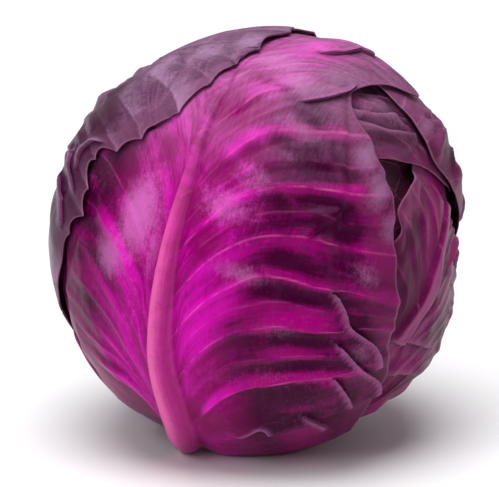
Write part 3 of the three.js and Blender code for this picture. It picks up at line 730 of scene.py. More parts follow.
def spaced_rows(leaf):
    """Rows that stand closer together where the sweep spreads them out, so no part of the grid is coarse"""
    rows = np.linspace(leaf["first"], leaf["last"], 600)
    aside = np.arange(0.0, 66.0, 3.0)
    widest = np.ones(len(rows))
    for side in (-1, 1):
        along = sweep(leaf, side, rows[:, None], aside[None, :])
        apart = np.gradient(along, axis=0) / (rows[1] - rows[0])
        apart = np.where(aside[None, :] < row_ends(leaf, side, rows)[:, None], apart, 0)
        widest = np.maximum(widest, apart.max(axis=1))
    run = np.cumsum(np.minimum(widest, 8))
    return np.interp(np.linspace(run[0], run[-1], leaf["rows"]), run, rows)


def leaf_grid(leaf):
    """Rows by columns of side, row, aside, along, shares of the way over blade and rib, and half width"""
    rows = spaced_rows(leaf)
    halves = []
    for side in (-1, 1):
        ends = row_ends(leaf, side, rows)
        ends = ends - margin_cut(leaf, side, rows, ends) / MM_PER_DEGREE
        in_rib = np.minimum(through(leaf["rib"], rows), ends * 0.5)
        inner = np.linspace(0, 1, RIB_COLUMNS + 1)
        outer = np.linspace(0, 1, leaf["columns"] + 1)[1:] ** 1.15
        beyond_rib = in_rib[:, None] + (ends - in_rib)[:, None] * outer
        aside = np.concatenate([in_rib[:, None] * inner, beyond_rib], axis=1)
        row = np.broadcast_to(rows[:, None], aside.shape)
        along = sweep(leaf, side, row, aside)
        half = dict(
            side=np.full(aside.shape, float(side)), row=row, aside=aside, along=along,
            share=aside / ends[:, None], rib=aside / in_rib[:, None],
            half=np.broadcast_to(ends[:, None], aside.shape),
        )
        if side < 0:
            half = {name: grid[:, :0:-1] for name, grid in half.items()}
        halves.append(half)
    return {name: np.concatenate([halves[0][name], halves[1][name]], axis=1) for name in halves[0]}


def closed_sheet_faces(row_count, column_count):
    """Quads of an outer grid, the same grid turned over beneath it, and a band round their edges"""
    index = np.arange(row_count * column_count).reshape(row_count, column_count)
    a, b, c, d = index[:-1, :-1], index[:-1, 1:], index[1:, 1:], index[1:, :-1]
    outer = np.stack([a, b, c, d], -1).reshape(-1, 4)
    under = index.size
    inner = outer[:, ::-1] + under
    rim = np.concatenate([index[0, :-1], index[:-1, -1], index[-1, :0:-1], index[:0:-1, 0]])
    after = np.roll(rim, -1)
    edge = np.stack([after, rim, rim + under, after + under], -1)
    return np.concatenate([outer, inner, edge])


def add_mesh(name, points, faces, attributes):
    """A smooth mesh object from points in mm, with named numbers or vectors on its points"""
    mesh = bpy.data.meshes.new(name)
    mesh.from_pydata((points * MM).tolist(), [], faces)
    mesh.polygons.foreach_set("use_smooth", np.ones(len(mesh.polygons), bool))
    for key, value in attributes.items():
        kind, field = ("FLOAT_VECTOR", "vector") if value.ndim == 2 else ("FLOAT", "value")
        mesh.attributes.new(key, kind, "POINT").data.foreach_set(field, value.astype("f4").ravel())
    mesh.update()
    piece = bpy.data.objects.new(name, mesh)
    bpy.context.collection.objects.link(piece)
    return piece


def outward(points, faces):
    """Outward faces give a positive volume; if it is negative, every face is turned over"""
    p, q, r, s = (points[faces[:, i]] for i in range(4))
    volume = np.einsum("ij,ij->i", p, np.cross(q, r)).sum() + np.einsum("ij,ij->i", p, np.cross(r, s)).sum()
    return faces[:, ::-1] if volume < 0 else faces


def folded_skin(name, a, b):
    """The angles, shifted by a leaf's folds, with the lift, lips, painted slit shadows and nearness of its
    folds
    """
    lift, lip, slit_shadow, near_fold = (np.zeros(a.shape) for _ in range(4))
    for path, height, left_reach, right_reach in RIDGES.get(name, []):
        ridge_here = ridge_lift(a, b, path, height, left_reach, right_reach)
        lift = lift + ridge_here
        near_fold = np.maximum(near_fold, 0.7 * ridge_here / height)
    for path, *shape in FOLDS.get(name, []):
        a, b, rise, lip_here, slit_shadow_here, near = fold(a, b, path, *shape)
        lift = lift + rise
        lip = np.maximum(lip, lip_here)
        slit_shadow = np.maximum(slit_shadow, slit_shadow_here)
        near_fold = np.maximum(near_fold, near)
    return a, b, lift, lip, slit_shadow, near_fold


def side_veins(leaf, side, wandering):
    """The broad crest of the side veins, degrees to the nearest vein, and how strong that one is"""
    wide = np.zeros(side.shape)
    gap = np.full(side.shape, NO_VEIN)
    strength_here = np.zeros(side.shape)
    for s in (-1, 1):
        for vein, strength in vein_list(leaf, s):
            off = wandering - vein
            crest = strength * np.exp(-((off / np.where(off > 0, CREST_ABOVE, CREST_BELOW)) ** 2))
            wide = np.where(side == s, np.maximum(wide, crest), wide)
            nearer = (side == s) & (np.abs(off) < gap)
            strength_here = np.where(nearer, strength, strength_here)
            gap = np.where(nearer, np.abs(off), gap)
    return wide, gap, strength_here


print("rows of the front leaf:", len(spaced_rows(LEAVES[5])))

# %% [markdown]
# ## Making one leaf
# Relief is added in layers: a broad wave on each side vein, a narrow ridge on the vein itself, bulges
# between the small veins, lumps, creases, the curl of the margin, the folds and the ridges. It fades out
# where another leaf presses on this one, so the sheets never cut into each other.

# %% Build a leaf mesh


def patches(a, b, table):
    """How far each point lies in soft patches of the table, from 0 to about 1"""
    total = np.zeros(a.shape)
    for along, aside, high, broad, amount in table:
        up = (a - along) * MM_PER_DEGREE * math.cos(aside * DEG) / high
        across = (b - aside) * MM_PER_DEGREE / broad
        total = np.maximum(total, amount * np.exp(-(up ** 2 + across ** 2)))
    return total


def build_leaf(k):
    """Leaf k of the table as a closed mesh, with what its relief is made of as attributes"""
    leaf = LEAVES[k]
    relief = RELIEF[leaf["name"]]
    grid = leaf_grid(leaf)
    side, row, aside, share = grid["side"], grid["row"], grid["aside"], grid["share"]
    a, b = grid["along"], grid["aside"] * grid["side"]
    if leaf["name"] in TEETH:
        a, b, between, out = toothed(leaf, a, b)

    # the side veins wander, more so towards the margin; each is a broad wave with a narrow ridge on it
    here = leaf_direction(leaf, a, b) * SKIN_RADIUS
    crowding = np.gradient(a, axis=0) / np.gradient(row, axis=0)
    a, b, folded, lip, slit_shadow, near_fold = folded_skin(leaf["name"], a, b)
    wandering = wander(leaf, row, aside, here)
    vein_map = np.stack([b / 17, wandering / 5.5, np.full(a.shape, 0.37 * k)], -1)
    lens = lumps(vein_map, 1, 91 + k)
    slow = lumps(vein_map * (0.8, 0.5, 1), 1, 95 + k)
    wide, gap, strength_here = side_veins(leaf, side, wandering)
    gap = gap * np.clip(crowding, 0.4, 6)
    spread = ease((aside - 4) / 9)
    calm = (1 - 0.8 * near_fold) * ease((crowding - 0.25) / 0.5)
    wide = np.clip(wide * (0.8 + 0.75 * slow) + 0.3 * lens, 0, 1.3) * calm
    wave = leaf["wave"] * wide * spread * (1 - 0.5 * share)
    narrow = 0.4 * strength_here * np.exp(-((gap / 0.6) ** 2)) * ease((aside - 2) / 4)
    narrow = narrow * (1 - ease((share - 0.45) / 0.45)) * np.clip(0.7 + slow, 0, 1.3)

    # blisters between the small veins, soft lumps, creases and fine crumpling, rougher towards the margin
    warp = np.stack([lumps(here, 14, 31 + k), lumps(here, 14, 32 + k), lumps(here, 14, 33 + k)], -1)
    walls, tint = cell_walls(here + 3.5 * warp, relief["cell"], 41 + k)
    soft_wall = walls
    if leaf["name"] in TEETH:
        walls, tint, tooth_line, soft_wall = facets(between, out, here, walls, tint)
        bare = ease((out - 0.35) / 0.2)
        wide = wide * (1 - bare)
        wave = wave * (1 - bare)
        gap = gap + 9 * bare
        narrow = narrow * (1 - bare) + 0.35 * bare * np.exp(-((tooth_line / 0.9) ** 2))
        narrow = narrow + 0.5 * bare * tint * ease(tooth_line / 1.5)
    bulge = relief["bulge"] * ease(walls / (0.33 * relief["cell"])) * ease((aside - 5) / 10)
    rough = 0.35 + 0.65 * ease((share - 0.4) / 0.5)
    lump = relief["lump"] * 0.5 * (1 + lumps(here, 16, 51 + k)) * rough * ease((aside - 5) / 12)
    crease_line = lumps(here, relief.get("apart", 19), 81 + k) + 0.25 * lumps(here, 6, 82 + k)
    crease = ease(1 - np.abs(crease_line) / 0.2) * rough
    fine = relief["fine"] * (1 + lumps(here, 5, 61 + k)) * rough

    # the margin curls out, and the rest of the relief dies away there where the leaf is held tight
    curl_wave = 1 + 0.35 * lumps(here, 13, 71 + k)
    curl = through(CURL.get(leaf["name"], leaf["curl"]), row) * ease((share - 0.78) / 0.22) * curl_wave
    curl = curl * np.where(side > 0, 1, relief.get("left_curl", 1))
    loose_margin = 1 - (1 - relief["loose"] * ease((180 - row) / 60)) * ease((share - 0.7) / 0.3)
    lift = (wave + narrow + bulge + lump + relief["crease"] * crease + fine) * loose_margin + curl + folded

    # the two skins: lifted by the leaves beneath, pressed flat by those over them, thinner at the margin
    d = leaf_direction(leaf, a, b)
    free = freedom(k, d)
    ridge = through(leaf["rib"], row, 2) * np.sqrt(np.maximum(0, 1 - grid["rib"] ** 2))
    beside_rib = 0.5 * np.exp(-(((grid["rib"] - 1.25) / 0.35) ** 2)) * (side > 0)
    lift = free * np.maximum(lift - beside_rib, -0.35)
    radius = ball_radius(d) + LAYER * layers(LEAVES[:k], d) + lift
    level = LAYER * layers(LEAVES[k + 1:], d)
    to_margin = (grid["half"] - aside) * MM_PER_DEGREE
    thin = 0.35 * (1 - ease(to_margin / 5))
    outer = placed(d, radius + SHEET + free * ridge, level)
    inner = placed(d, radius + thin, level + SHEET)
    row_count, column_count = a.shape
    faces = closed_sheet_faces(row_count, column_count)
    points = np.concatenate([outer.reshape(-1, 3), inner.reshape(-1, 3)])

    # what the finish reads, the same on both skins
    foot = np.arccos(np.clip(d @ STEM_AXIS, -1, 1)) / DEG * MM_PER_DEGREE
    pale, dark = (patches(a, b, table.get(leaf["name"], [])) for table in (WAX_AND_SHEEN_PATCHES, DARK_AND_SHADE_PATCHES))
    # where the groove beside the midrib is painted in shade
    groove_shade = np.exp(-(((grid["rib"] - 1.2) / 0.22) ** 2)) * np.where(side > 0, 1.0, 0.45)
    made = dict(
        crest=wide * spread, crease=crease * (1 - near_fold) * min(relief["crease"], 1),
        tint=tint, lens=lens, pale=pale, dark=dark, groove_shade=groove_shade,
        vein_gap=gap * MM_PER_DEGREE, vein_strength=strength_here,
        rib=np.clip(1.3 - grid["rib"], 0, 1.3), rib_gap=aside * MM_PER_DEGREE * side, margin_gap=to_margin,
        lip=lip, slit_shadow=slit_shadow, foot_gap=foot, cells=walls, soft_wall=soft_wall,
    )
    attributes = {key: np.concatenate([value.ravel(), value.ravel()]) for key, value in made.items()}
    attributes["under"] = np.concatenate([np.zeros(a.size), np.ones(a.size)])
    off_rib = ease(grid["rib"] - 1)
    up = a * (1 - off_rib) + wandering * off_rib
    place = np.stack([b * MM_PER_DEGREE, up * MM_PER_DEGREE, np.full(a.shape, 40.0 * k)], -1).reshape(-1, 3)
    attributes["place"] = np.concatenate([place, place]) * MM
    piece = add_mesh(leaf["name"] + "_blade", points, outward(points, faces).tolist(), attributes)
    print(piece.name, "faces:", len(faces))
    return piece


blades = {leaf["name"]: build_leaf(k) for k, leaf in enumerate(LEAVES)}

# %% [markdown]
# ## The heart and the cut stem
# Under the outer leaves is the tight heart. Only slivers of it show, round the stem and through gaps, so
# it is one closed ball with the lines of its own overlapping leaves pressed in. The stem is a short stub
# that was cut across with a knife: its face is nearly flat, with a raised woody ring, a softer pith in the
# middle and a fine grain.

# %% Build the heart
HEART_RINGS = 90
HEART_SPOKES = 150
BACK = np.array([0, 1, 0])


def ringed_faces(rings, spokes):
    """Quads between rings of points, and two caps of triangles round the two points that follow the rings"""
    index = np.arange(rings * spokes).reshape(rings, spokes)
    right = np.roll(index, -1, axis=1)
    quads = np.stack([index[:-1], index[1:], right[1:], right[:-1]], -1).reshape(-1, 4).tolist()
    caps = [[index.size, int(a), int(b)] for a, b in zip(index[0], right[0])]
    caps += [[index.size + 1, int(b), int(a)] for a, b in zip(index[-1], right[-1])]
    return quads + caps


def revolve(rings, spokes, skin):
    """Points and faces of a closed ball; skin gives the point at a polar and a round angle"""
    polar = np.linspace(0, math.pi, rings + 1)[1:-1]
    around = np.linspace(0, 2 * math.pi, spokes, endpoint=False)
    grid = skin(*np.meshgrid(polar, around, indexing="ij"))
    ends = skin(np.array([0.0, math.pi]), np.array([0.0, 0.0]))
    return np.concatenate([grid.reshape(-1, 3), ends]), ringed_faces(rings - 1, spokes)


def heart_skin(polar, around):
    """The heart's surface, with curved lines pressed in where its own leaves overlap"""
    sideways = np.cos(around)[..., None] * SIDE + np.sin(around)[..., None] * BACK
    d = np.cos(polar)[..., None] * STEM_AXIS + np.sin(polar)[..., None] * sideways
    fold_lines = np.abs(np.sin(around * 1.5 + polar * 1.2 + 0.4 * lumps(d * SKIN_RADIUS, 40, 3)))
    sunk = 0.9 * np.exp(-fold_lines / 0.08) + 0.35 * (1 - lumps(d * SKIN_RADIUS, 12, 4))
    level = LAYER * layers(LEAVES, d) + HEART_GAP
    return pressed(CENTRE + (ball_radius(d) - HEART_GAP - sunk * np.sin(polar))[..., None] * d, level)


heart = add_mesh("inner_heart", *revolve(HEART_RINGS, HEART_SPOKES, heart_skin), {})
print("heart faces:", len(heart.data.polygons))

# %% Build the stem
STEM_RADIUS = 11.5
STEM_SPOKES = 120
STEM_SIDE_RINGS = 10
STEM_FACE_RINGS = 16
BEVEL = 0.7


def stem_profile():
    """Shares of the radius and heights over the floor, from the middle of the cut face out round its edge"""
    face = [(r, 0.12 + 0.18 * math.exp(-((r - 0.45) / 0.2) ** 2) - 0.12 * ease((r - 0.6) / 0.25))
            for r in np.linspace(0, 0.93, STEM_FACE_RINGS + 1)[1:]]
    edge = [(0.965, 0.1), (0.99, 0.35), (1.0, BEVEL)]
    return face + edge


def stem_piece():
    """The stem from the middle of its cut face, round the bevel and up into the heart"""
    around = np.linspace(0, 2 * math.pi, STEM_SPOKES, endpoint=False)
    wander = 1 - 0.03 * (1 + np.cos(5 * around)) - 0.012 * (1 + np.cos(23 * around + 1))
    outward_line = np.cos(around)[:, None] * SIDE + np.sin(around)[:, None] * BACK
    across = STEM_RADIUS * wander[:, None] * outward_line
    top = ball_radius(STEM_AXIS[None, :])[0] - HEART_GAP + 0.4
    rings = []
    for share, height in stem_profile():
        line = CENTRE + across * share
        down = (line[:, 2] - height) / -STEM_AXIS[2]
        rings.append(line + down[:, None] * STEM_AXIS)
    low = rings[-1]
    high = CENTRE + across + top * STEM_AXIS
    for t in np.linspace(0, 1, STEM_SIDE_RINGS + 1)[1:]:
        rings.append(low + (high - low) * t)
    points = np.concatenate(rings + [[rings[0].mean(axis=0)], [CENTRE + top * STEM_AXIS]])
    shares = [share for share, _ in stem_profile()] + [1.0] * STEM_SIDE_RINGS
    radial = np.concatenate([np.repeat(shares, STEM_SPOKES), [0, 0]])
    return add_mesh("stem_stub", points, ringed_faces(len(rings), STEM_SPOKES), {"radial": radial})


stem = stem_piece()
print("stem faces:", len(stem.data.polygons))

# %% [markdown]
# ## Writing finishes as sums
# A Blender material is a graph of nodes. Wiring each one by hand is long, so a small class wraps an output
# and lets us write arithmetic: adding two of them makes a Math node. Colours go through Mix nodes, since a
# Math node would turn them grey.

# %% A small language for materials


def srgb(r, g, b):
    """A screen colour from 0 to 255 as Blender's linear colour"""
    shares = [c / 255 for c in (r, g, b)]
    linear = [c / 12.92 if c <= 0.04045 else ((c + 0.055) / 1.055) ** 2.4 for c in shares]
    return (*linear, 1)


class Wire:
    """An output of a node, with arithmetic"""

    def __init__(self, finish, socket):
        self.finish = finish
        self.socket = socket

    def math(self, operation, first, second):
        return self.finish.add("ShaderNodeMath", {"operation": operation}, {0: first, 1: second})

    def __add__(self, other):
        return self.math("ADD", self, other)

    __radd__ = __add__

    def __sub__(self, other):
        return self.math("SUBTRACT", self, other)

    def __rsub__(self, other):
        return self.math("SUBTRACT", other, self)

    def __mul__(self, other):
        return self.math("MULTIPLY", self, other)

    __rmul__ = __mul__

    def step(self, low, high):
        """0 below low, 1 above high, smooth between; high may be the smaller"""
        settings = {"interpolation_type": "SMOOTHSTEP"}
        if low < high:
            return self.finish.add("ShaderNodeMapRange", settings, {0: self, 1: low, 2: high})
        return self.finish.add("ShaderNodeMapRange", settings, {0: self, 1: high, 2: low, 3: 1.0, 4: 0.0})

    def most(self, other):
        return self.math("MAXIMUM", self, other)


class Finish:
    """A material in the making"""

    def __init__(self, name):
        self.material = bpy.data.materials.new(name)
        self.material.use_nodes = True
        self.tree = self.material.node_tree
        self.tree.nodes.clear()

    def add(self, kind, settings=None, inputs=None, output=0):
        node = self.tree.nodes.new(kind)
        for name, value in (settings or {}).items():
            setattr(node, name, value)
        for name, value in (inputs or {}).items():
            if isinstance(value, Wire):
                self.tree.links.new(value.socket, node.inputs[name])
            else:
                node.inputs[name].default_value = value
        return Wire(self, node.outputs[output])

    def value(self, name):
        return self.add("ShaderNodeAttribute", {"attribute_name": name}, output="Fac")

    def vector(self, name):
        return self.add("ShaderNodeAttribute", {"attribute_name": name}, output="Vector")

    def mix(self, share, first, second, blend="MIX"):
        settings = {"data_type": "RGBA", "blend_type": blend, "clamp_factor": True}
        return self.add("ShaderNodeMix", settings, {0: share, 6: first, 7: second}, output=2)

    def noise(self, place, scale, detail=3, rough=0.55, warp=0.0):
        inputs = {"Vector": place, "Scale": scale, "Detail": detail, "Roughness": rough, "Distortion": warp}
        return self.add("ShaderNodeTexNoise", {}, inputs)

    def walls(self, place, scale):
        inputs = {"Vector": place, "Scale": scale}
        return self.add("ShaderNodeTexVoronoi", {"feature": "DISTANCE_TO_EDGE"}, inputs)

    def stretched(self, place, x, y, z):
        return self.add("ShaderNodeMapping", {}, {"Vector": place, "Scale": (x, y, z)})

    def surface(self, colour, roughness, height, bump=0.6, **same):
        normal = self.add("ShaderNodeBump", {}, {"Strength": bump, "Distance": MM, "Height": height})
        inputs = {"Base Color": colour, "Roughness": roughness, "Normal": normal}
        inputs.update({name.replace("_", " "): value for name, value in same.items()})
        shader = self.add("ShaderNodeBsdfPrincipled", {}, inputs)
        output = self.tree.nodes.new("ShaderNodeOutputMaterial")
        self.tree.links.new(shader.socket, output.inputs["Surface"])
        return self.material


print("dark valley colour:", [round(c, 3) for c in srgb(72, 9, 49)])

# %% [markdown]
# ## The skin of a leaf
# Red cabbage is coloured in its skin: bright magenta where the blade is thin over a vein, nearly black
# purple in the hollows, deepened there by painted shade, dull mauve towards the margin and pink along the
# midrib. Over it lies a grey-lilac bloom of wax, thick on the outermost leaves and rubbed off in patches;
# some pale patches are painted highlights, and the pale veil where the head faces up is partly painted
# sheen. Dark patches are partly painted shade, the slits behind lips carry painted shadow, the midrib's
# right flank is painted in shade, and the pale rims of lips and margins and the midrib's left flank are
# painted highlights. One recipe serves every leaf, with its own colours and amounts.

# %% The leaf finish
# pale veil at the top of the head: partly wax, partly painted sheen
VEIL_AND_SHEEN = srgb(200, 150, 192)
# pale rim of lips and margins: painted highlight
RIM_HIGHLIGHT = srgb(170, 112, 146)
# painted shadow in the slit behind a lip
SLIT_SHADOW = srgb(30, 3, 20)
PALE_FOOT = srgb(222, 176, 196)
INNER_DARK = srgb(78, 26, 62)
INNER_LIGHT = srgb(118, 56, 96)
SHEEN = srgb(255, 150, 235)


def leaf_finish(name, near_valley, near_crest, far_valley, far_crest, margin, rib, wax, far_wax,
                waxy, cells, veil_and_sheen_amount, gloss, shade_depth, rib_show):
    """Near is beside the midrib and far towards the margin; waxy and the names after it are amounts"""
    f = Finish(name)
    place = f.add("ShaderNodeTexCoord", output="Object")
    leaf_place = f.vector("place")
    crest_here = f.value("crest")
    rib_distance = f.add("ShaderNodeMath", {"operation": "ABSOLUTE"}, {0: f.value("rib_gap")})
    margin_gap = f.value("margin_gap")
    high = f.add("ShaderNodeSeparateXYZ", {}, {0: place}, output="Z")

    cloud = f.noise(place, 34, 3, 0.55) - 0.5
    drift = f.noise(place, 110, 4, 0.6) - 0.5
    speckle = f.noise(place, 1500, 2, 0.7)
    lenses = f.noise(f.stretched(leaf_place, 45, 190, 1), 1, 3, 0.55) - 0.5
    strokes = f.noise(f.stretched(leaf_place, 1100, 170, 1), 1, 3, 0.6) - 0.5
    fibres = f.noise(f.stretched(leaf_place, 90, 900, 1), 1, 3, 0.6) - 0.5
    mottle = f.noise(place, 430, 5, 0.72) - 0.5
    rib_fibres = f.noise(f.stretched(leaf_place, 1500, 60, 1), 1, 3, 0.6)

    # bright beside the midrib and on the crests, dark in the lens-shaped hollows between the side veins: the
    # skin's own colour, with painted shade in the hollows and in the dark patches
    near = (rib_distance.step(46, 6) + cloud * 0.5 + drift * 0.25).step(0.1, 0.95)
    shade = f.value("dark")
    lit = crest_here * 0.8 + f.value("lens") * 0.18 + lenses * 1.0 + fibres * 0.4 + near * 0.1
    lit = lit - shade * 0.75 + 0.23
    lit = (lit + mottle * 0.7 + strokes * 0.35).step(0.0, 0.85)
    colour = f.mix(lit, f.mix(near, far_valley, near_valley), f.mix(near, far_crest, near_crest))
    outer = margin_gap.step(22, 2) * 0.8 + drift * 1.1 + lenses * 0.5 - crest_here * 0.1 + mottle * 0.4
    outer = outer.step(0.15, 0.75)
    colour = f.mix(outer * 0.8, colour, margin)
    colour = f.mix(f.value("crease") * 0.22, colour, rib)

    # cells between the small veins, each a little lighter or darker than the next, with thin pale walls; the
    # blisters of the toothed leaf add painted shade and light across each one, and the dark patches add
    # painted shade
    if cells:
        tint = f.value("tint") * 2 - 1 + mottle
        shaded = f.value("soft_wall").step(-0.5, 3.5)
        colour = f.mix(tint.most(0) * cells * shaded, colour, wax)
        colour = f.mix(((0 - tint) * shaded).most(shade * 0.8) * cells, colour, far_valley)
        wall = f.value("cells").step(0.6, 0.0)
        colour = f.mix(wall * 0.35 * cells * (drift + 0.5).step(0.35, 0.6), colour, rib)

    # thin pale lines on the veins
    line = f.value("vein_gap").step(0.8, 0.1) * f.value("vein_strength") * (drift + 0.5).step(0.36, 0.6)
    colour = f.mix(line * 0.4, colour, rib)

    # wax bloom: patches broken up by grain and short strokes, and a thin veil where the head faces up, which
    # is partly wax and partly painted sheen
    field = f.noise(f.stretched(place, 1, 1, 1.3), 27, 4, 0.6, 0.4)
    broken = (speckle - 0.5) * 0.7 + strokes * 0.35 + mottle * 0.7
    patches_here = (field + broken).step(0.68 - 0.22 * waxy, 0.9 - 0.12 * waxy) * (0.2 + 0.6 * waxy)
    # the listed pale patches: wax bloom, in part painted highlights
    listed_wax_and_sheen = (f.value("pale") + broken * 0.9 + drift * 0.5).step(0.15, 1.0) * 0.75
    colour = f.mix(patches_here.most(listed_wax_and_sheen), colour, f.mix(near, far_wax, wax))
    # the veil is paler where the head faces up: partly wax bloom, partly painted sheen from the overhead
    # light
    veil_and_sheen = high.step(0.105, 0.156) * veil_and_sheen_amount * (0.8 + strokes + lenses * 1.2 - shade * 0.6)
    veil_and_sheen = f.add("ShaderNodeClamp", {}, {0: veil_and_sheen})
    colour = f.mix(veil_and_sheen, colour, VEIL_AND_SHEEN)
    # painted shade over the dark patches, strongest on the bloomed leaf and none on the front leaf
    colour = f.mix(shade * shade_depth, colour, far_valley)
    white = patches_here.most(listed_wax_and_sheen).most(veil_and_sheen)

    # midrib with fibres along it, painted shade in the groove beside it and on its right flank and a painted
    # highlight on its left flank, pale lips and edges painted as highlights, and painted shadow behind a lip
    rib_mask = f.value("rib").step(0.9 - 0.7 * rib_show, 1.3 - 0.8 * rib_show)
    rib_mask = rib_mask * high.step(0.14, 0.07) * rib_show
    colour = f.mix(f.value("groove_shade") * 0.5, colour, near_valley)
    fibrous = (rib_fibres + mottle * 0.8).step(0.25, 0.95) * 0.5
    colour = f.mix(rib_mask * 0.72, colour, f.mix(fibrous, rib, near_valley))
    across_rib = f.value("rib_gap")
    # the midrib's right flank painted in shade, its left flank with a painted highlight
    colour = f.mix(rib_mask * across_rib.step(-1.5, 3.0) * 0.75, colour, far_crest)
    colour = f.mix(rib_mask * across_rib.step(0.5, -2.0) * across_rib.step(-6.0, -3.0) * 0.6, colour, rib)
    # pale rims along margins and lips, painted highlights
    edge = margin_gap.step(1.0, 0.15).most(f.value("lip") * 0.8)
    colour = f.mix(edge * 0.35, colour, RIM_HIGHLIGHT)
    colour = f.mix(f.value("lip") * 0.4, colour, wax)
    colour = f.mix(mottle.step(0.02, 0.3) * 0.26, colour, far_valley)
    colour = f.mix((0 - mottle).step(0.02, 0.3) * (0.02 + lit * 0.14), colour, wax)
    # painted shadow in the slit behind a lip
    colour = f.mix(f.value("slit_shadow") * 0.8, colour, SLIT_SHADOW)

    # the pale foot by the stem, and the duller inner face of the sheet
    foot = f.value("foot_gap").step(34, 14)
    colour = f.mix(foot * 0.7, colour, PALE_FOOT)
    colour = f.mix(f.value("under") * 0.85, colour, f.mix(cloud + 0.5, INNER_DARK, INNER_LIGHT))

    rough = 0.36 + white * 0.22 + (speckle - 0.5) * 0.14 + outer * 0.08
    height = strokes * 0.1 + fibres * 0.12 + speckle * 0.07 + f.noise(place, 420, 3, 0.6) * 0.25
    height = height + rib_mask * rib_fibres * 0.15
    return f.surface(colour, rough, height, 0.6, Specular_IOR_Level=gloss, Specular_Tint=SHEEN)


MAUVE = dict(
    near_valley=srgb(92, 12, 62), near_crest=srgb(144, 22, 102), far_valley=srgb(50, 6, 32),
    far_crest=srgb(122, 26, 86), margin=srgb(102, 34, 74), rib=srgb(182, 100, 144), wax=srgb(146, 98, 132),
    far_wax=srgb(142, 94, 128), waxy=0.25, cells=0.12, veil_and_sheen_amount=0.25, gloss=0.16, shade_depth=0.5, rib_show=0.5,
)
MAGENTA = dict(
    near_valley=srgb(130, 0, 88), near_crest=srgb(210, 8, 174), far_valley=srgb(54, 0, 36),
    far_crest=srgb(150, 0, 106), margin=srgb(98, 28, 70), rib=srgb(230, 98, 168), wax=srgb(196, 104, 176),
    far_wax=srgb(142, 96, 134), waxy=0.1, cells=0.0, veil_and_sheen_amount=0.36, gloss=0.14, shade_depth=0.0, rib_show=1.0,
)
BLOOM = dict(
    near_valley=srgb(92, 46, 78), near_crest=srgb(122, 70, 108), far_valley=srgb(58, 12, 42),
    far_crest=srgb(112, 60, 96), margin=srgb(104, 52, 84), rib=srgb(172, 122, 160), wax=srgb(172, 134, 172),
    far_wax=srgb(168, 130, 166), waxy=0.15, cells=0.8, veil_and_sheen_amount=0.2, gloss=0.2, shade_depth=0.7, rib_show=0.8,
)
mauve = leaf_finish("mauve_skin", **MAUVE)
magenta = leaf_finish("magenta_skin", **MAGENTA)
bloomed = leaf_finish("bloomed_skin", **BLOOM)
print("leaf finishes:", mauve.name, magenta.name, bloomed.name)

# %% [markdown]
# ## Heart and stem finishes
# The heart's leaves are a deeper even purple with pale veins. The cut face of the stem is cream, a little
# green towards the woody ring and pink at the skin, with a fine grain and brown flecks where the cut has
# dried.

# %% Heart and stem


def heart_finish():
    f = Finish("heart_skin")
    place = f.add("ShaderNodeTexCoord", output="Object")
    cloud = f.noise(place, 60, 4)
    fine = f.noise(place, 700, 4)
    net = f.walls(place, 110).step(0.06, 0.0)
    colour = f.mix(cloud.step(0.35, 0.7), srgb(64, 10, 42), srgb(112, 26, 78))
    colour = f.mix(net * 0.12, colour, srgb(196, 130, 168))
    return f.surface(colour, 0.45 + fine * 0.2, cloud * 0.3 + fine * 0.2 + net * 0.2, 0.7)


def stem_finish():
    f = Finish("cut_stem_flesh")
    place = f.add("ShaderNodeTexCoord", output="Object")
    radial = f.value("radial")
    cloud = f.noise(place, 260, 4)
    fine = f.noise(place, 2400, 4)
    rings = f.noise(f.stretched(place, 1, 1, 0.05), 900, 3)
    colour = f.mix(radial.step(0.25, 0.7), srgb(238, 226, 208), srgb(214, 206, 172))
    colour = f.mix(radial.step(0.86, 0.99), colour, srgb(188, 118, 146))
    colour = f.mix((cloud + fine * 0.4).step(0.72, 0.95) * 0.7, colour, srgb(142, 104, 72))
    height = fine * 0.25 + rings * 0.35 + cloud * 0.3
    return f.surface(colour, 0.62 + fine * 0.2, height, 0.8)


heart.data.materials.append(heart_finish())
stem.data.materials.append(stem_finish())
print("heart and stem finished")

# %% [markdown]
# ## Floor and light
# A plain pale floor and soft light from large lamps show a vegetable as a shop picture does: one wide lamp
# overhead and a little in front, a weaker one at the left, and an even pale surround that fills the
# shadows.

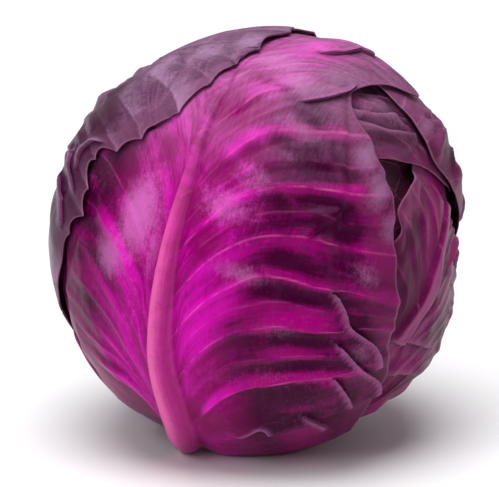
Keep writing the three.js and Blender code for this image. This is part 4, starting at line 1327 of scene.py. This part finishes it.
# %% Floor
FLOOR_HALF = 6.0
floor_mesh = bpy.data.meshes.new("floor")
corners = [(x * FLOOR_HALF, y * FLOOR_HALF, 0) for x, y in ((-1, -1), (1, -1), (1, 1), (-1, 1))]
floor_mesh.from_pydata(corners, [], [(0, 1, 2, 3)])
floor = bpy.data.objects.new("floor", floor_mesh)
bpy.context.collection.objects.link(floor)
paper = Finish("pale_paper")
paper_grain = paper.noise(paper.add("ShaderNodeTexCoord", output="Object"), 300, 3)
floor_mesh.materials.append(paper.surface(srgb(246, 245, 246), 0.9, paper_grain * 0.1, 0.1))
print("floor half width:", FLOOR_HALF)

# %% Light
SKY_SPREAD = math.radians(42)
SKY_POWER = 2.8
SKY_WAY = Vector((0.06, 0.26, -1))
SURROUND_POWER = 0.3


def lamp(name, place, size, power):
    light = bpy.data.lights.new(name, "AREA")
    light.shape = "DISK"
    light.size = size
    light.energy = power
    light_object = bpy.data.objects.new(name, light)
    light_object.location = place
    light_object.rotation_euler = (HEAD_MIDDLE - Vector(place)).to_track_quat("-Z", "Y").to_euler()
    bpy.context.collection.objects.link(light_object)


sky = bpy.data.lights.new("overhead_sky", "SUN")
sky.angle = SKY_SPREAD
sky.energy = SKY_POWER
sky_object = bpy.data.objects.new("overhead_sky", sky)
sky_object.rotation_euler = SKY_WAY.to_track_quat("-Z", "Y").to_euler()
bpy.context.collection.objects.link(sky_object)
lamp("left_softbox", (-0.5, -0.8, 0.7), 0.5, 3)
surround = bpy.data.worlds.new("pale_surround")
surround.use_nodes = True
background = surround.node_tree.nodes["Background"]
background.inputs["Color"].default_value = srgb(250, 250, 252)
background.inputs["Strength"].default_value = SURROUND_POWER
bpy.context.scene.world = surround
bpy.context.scene.view_settings.view_transform = "Standard"
print("lamps:", 2)

# %% [markdown]
# ## Handing the pieces over
# Each new piece hides the solid it stands for, is carried by the root body and gets its finish.

# %% Replace the solids
SKINS = {name: (mauve, "mauve_leaf") for name in blades}
SKINS["front_leaf"] = (magenta, "magenta_leaf")
SKINS["left_back_leaf"] = (bloomed, "bloom_leaf")


def hand_over(piece, node):
    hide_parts(node)
    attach(piece, "root")


for name, (skin, slot) in SKINS.items():
    blades[name].data.materials.append(skin)
    hand_over(blades[name], name)
hand_over(heart, "heart")
hand_over(stem, "stem")
print("pieces:", len(blades) + 2)
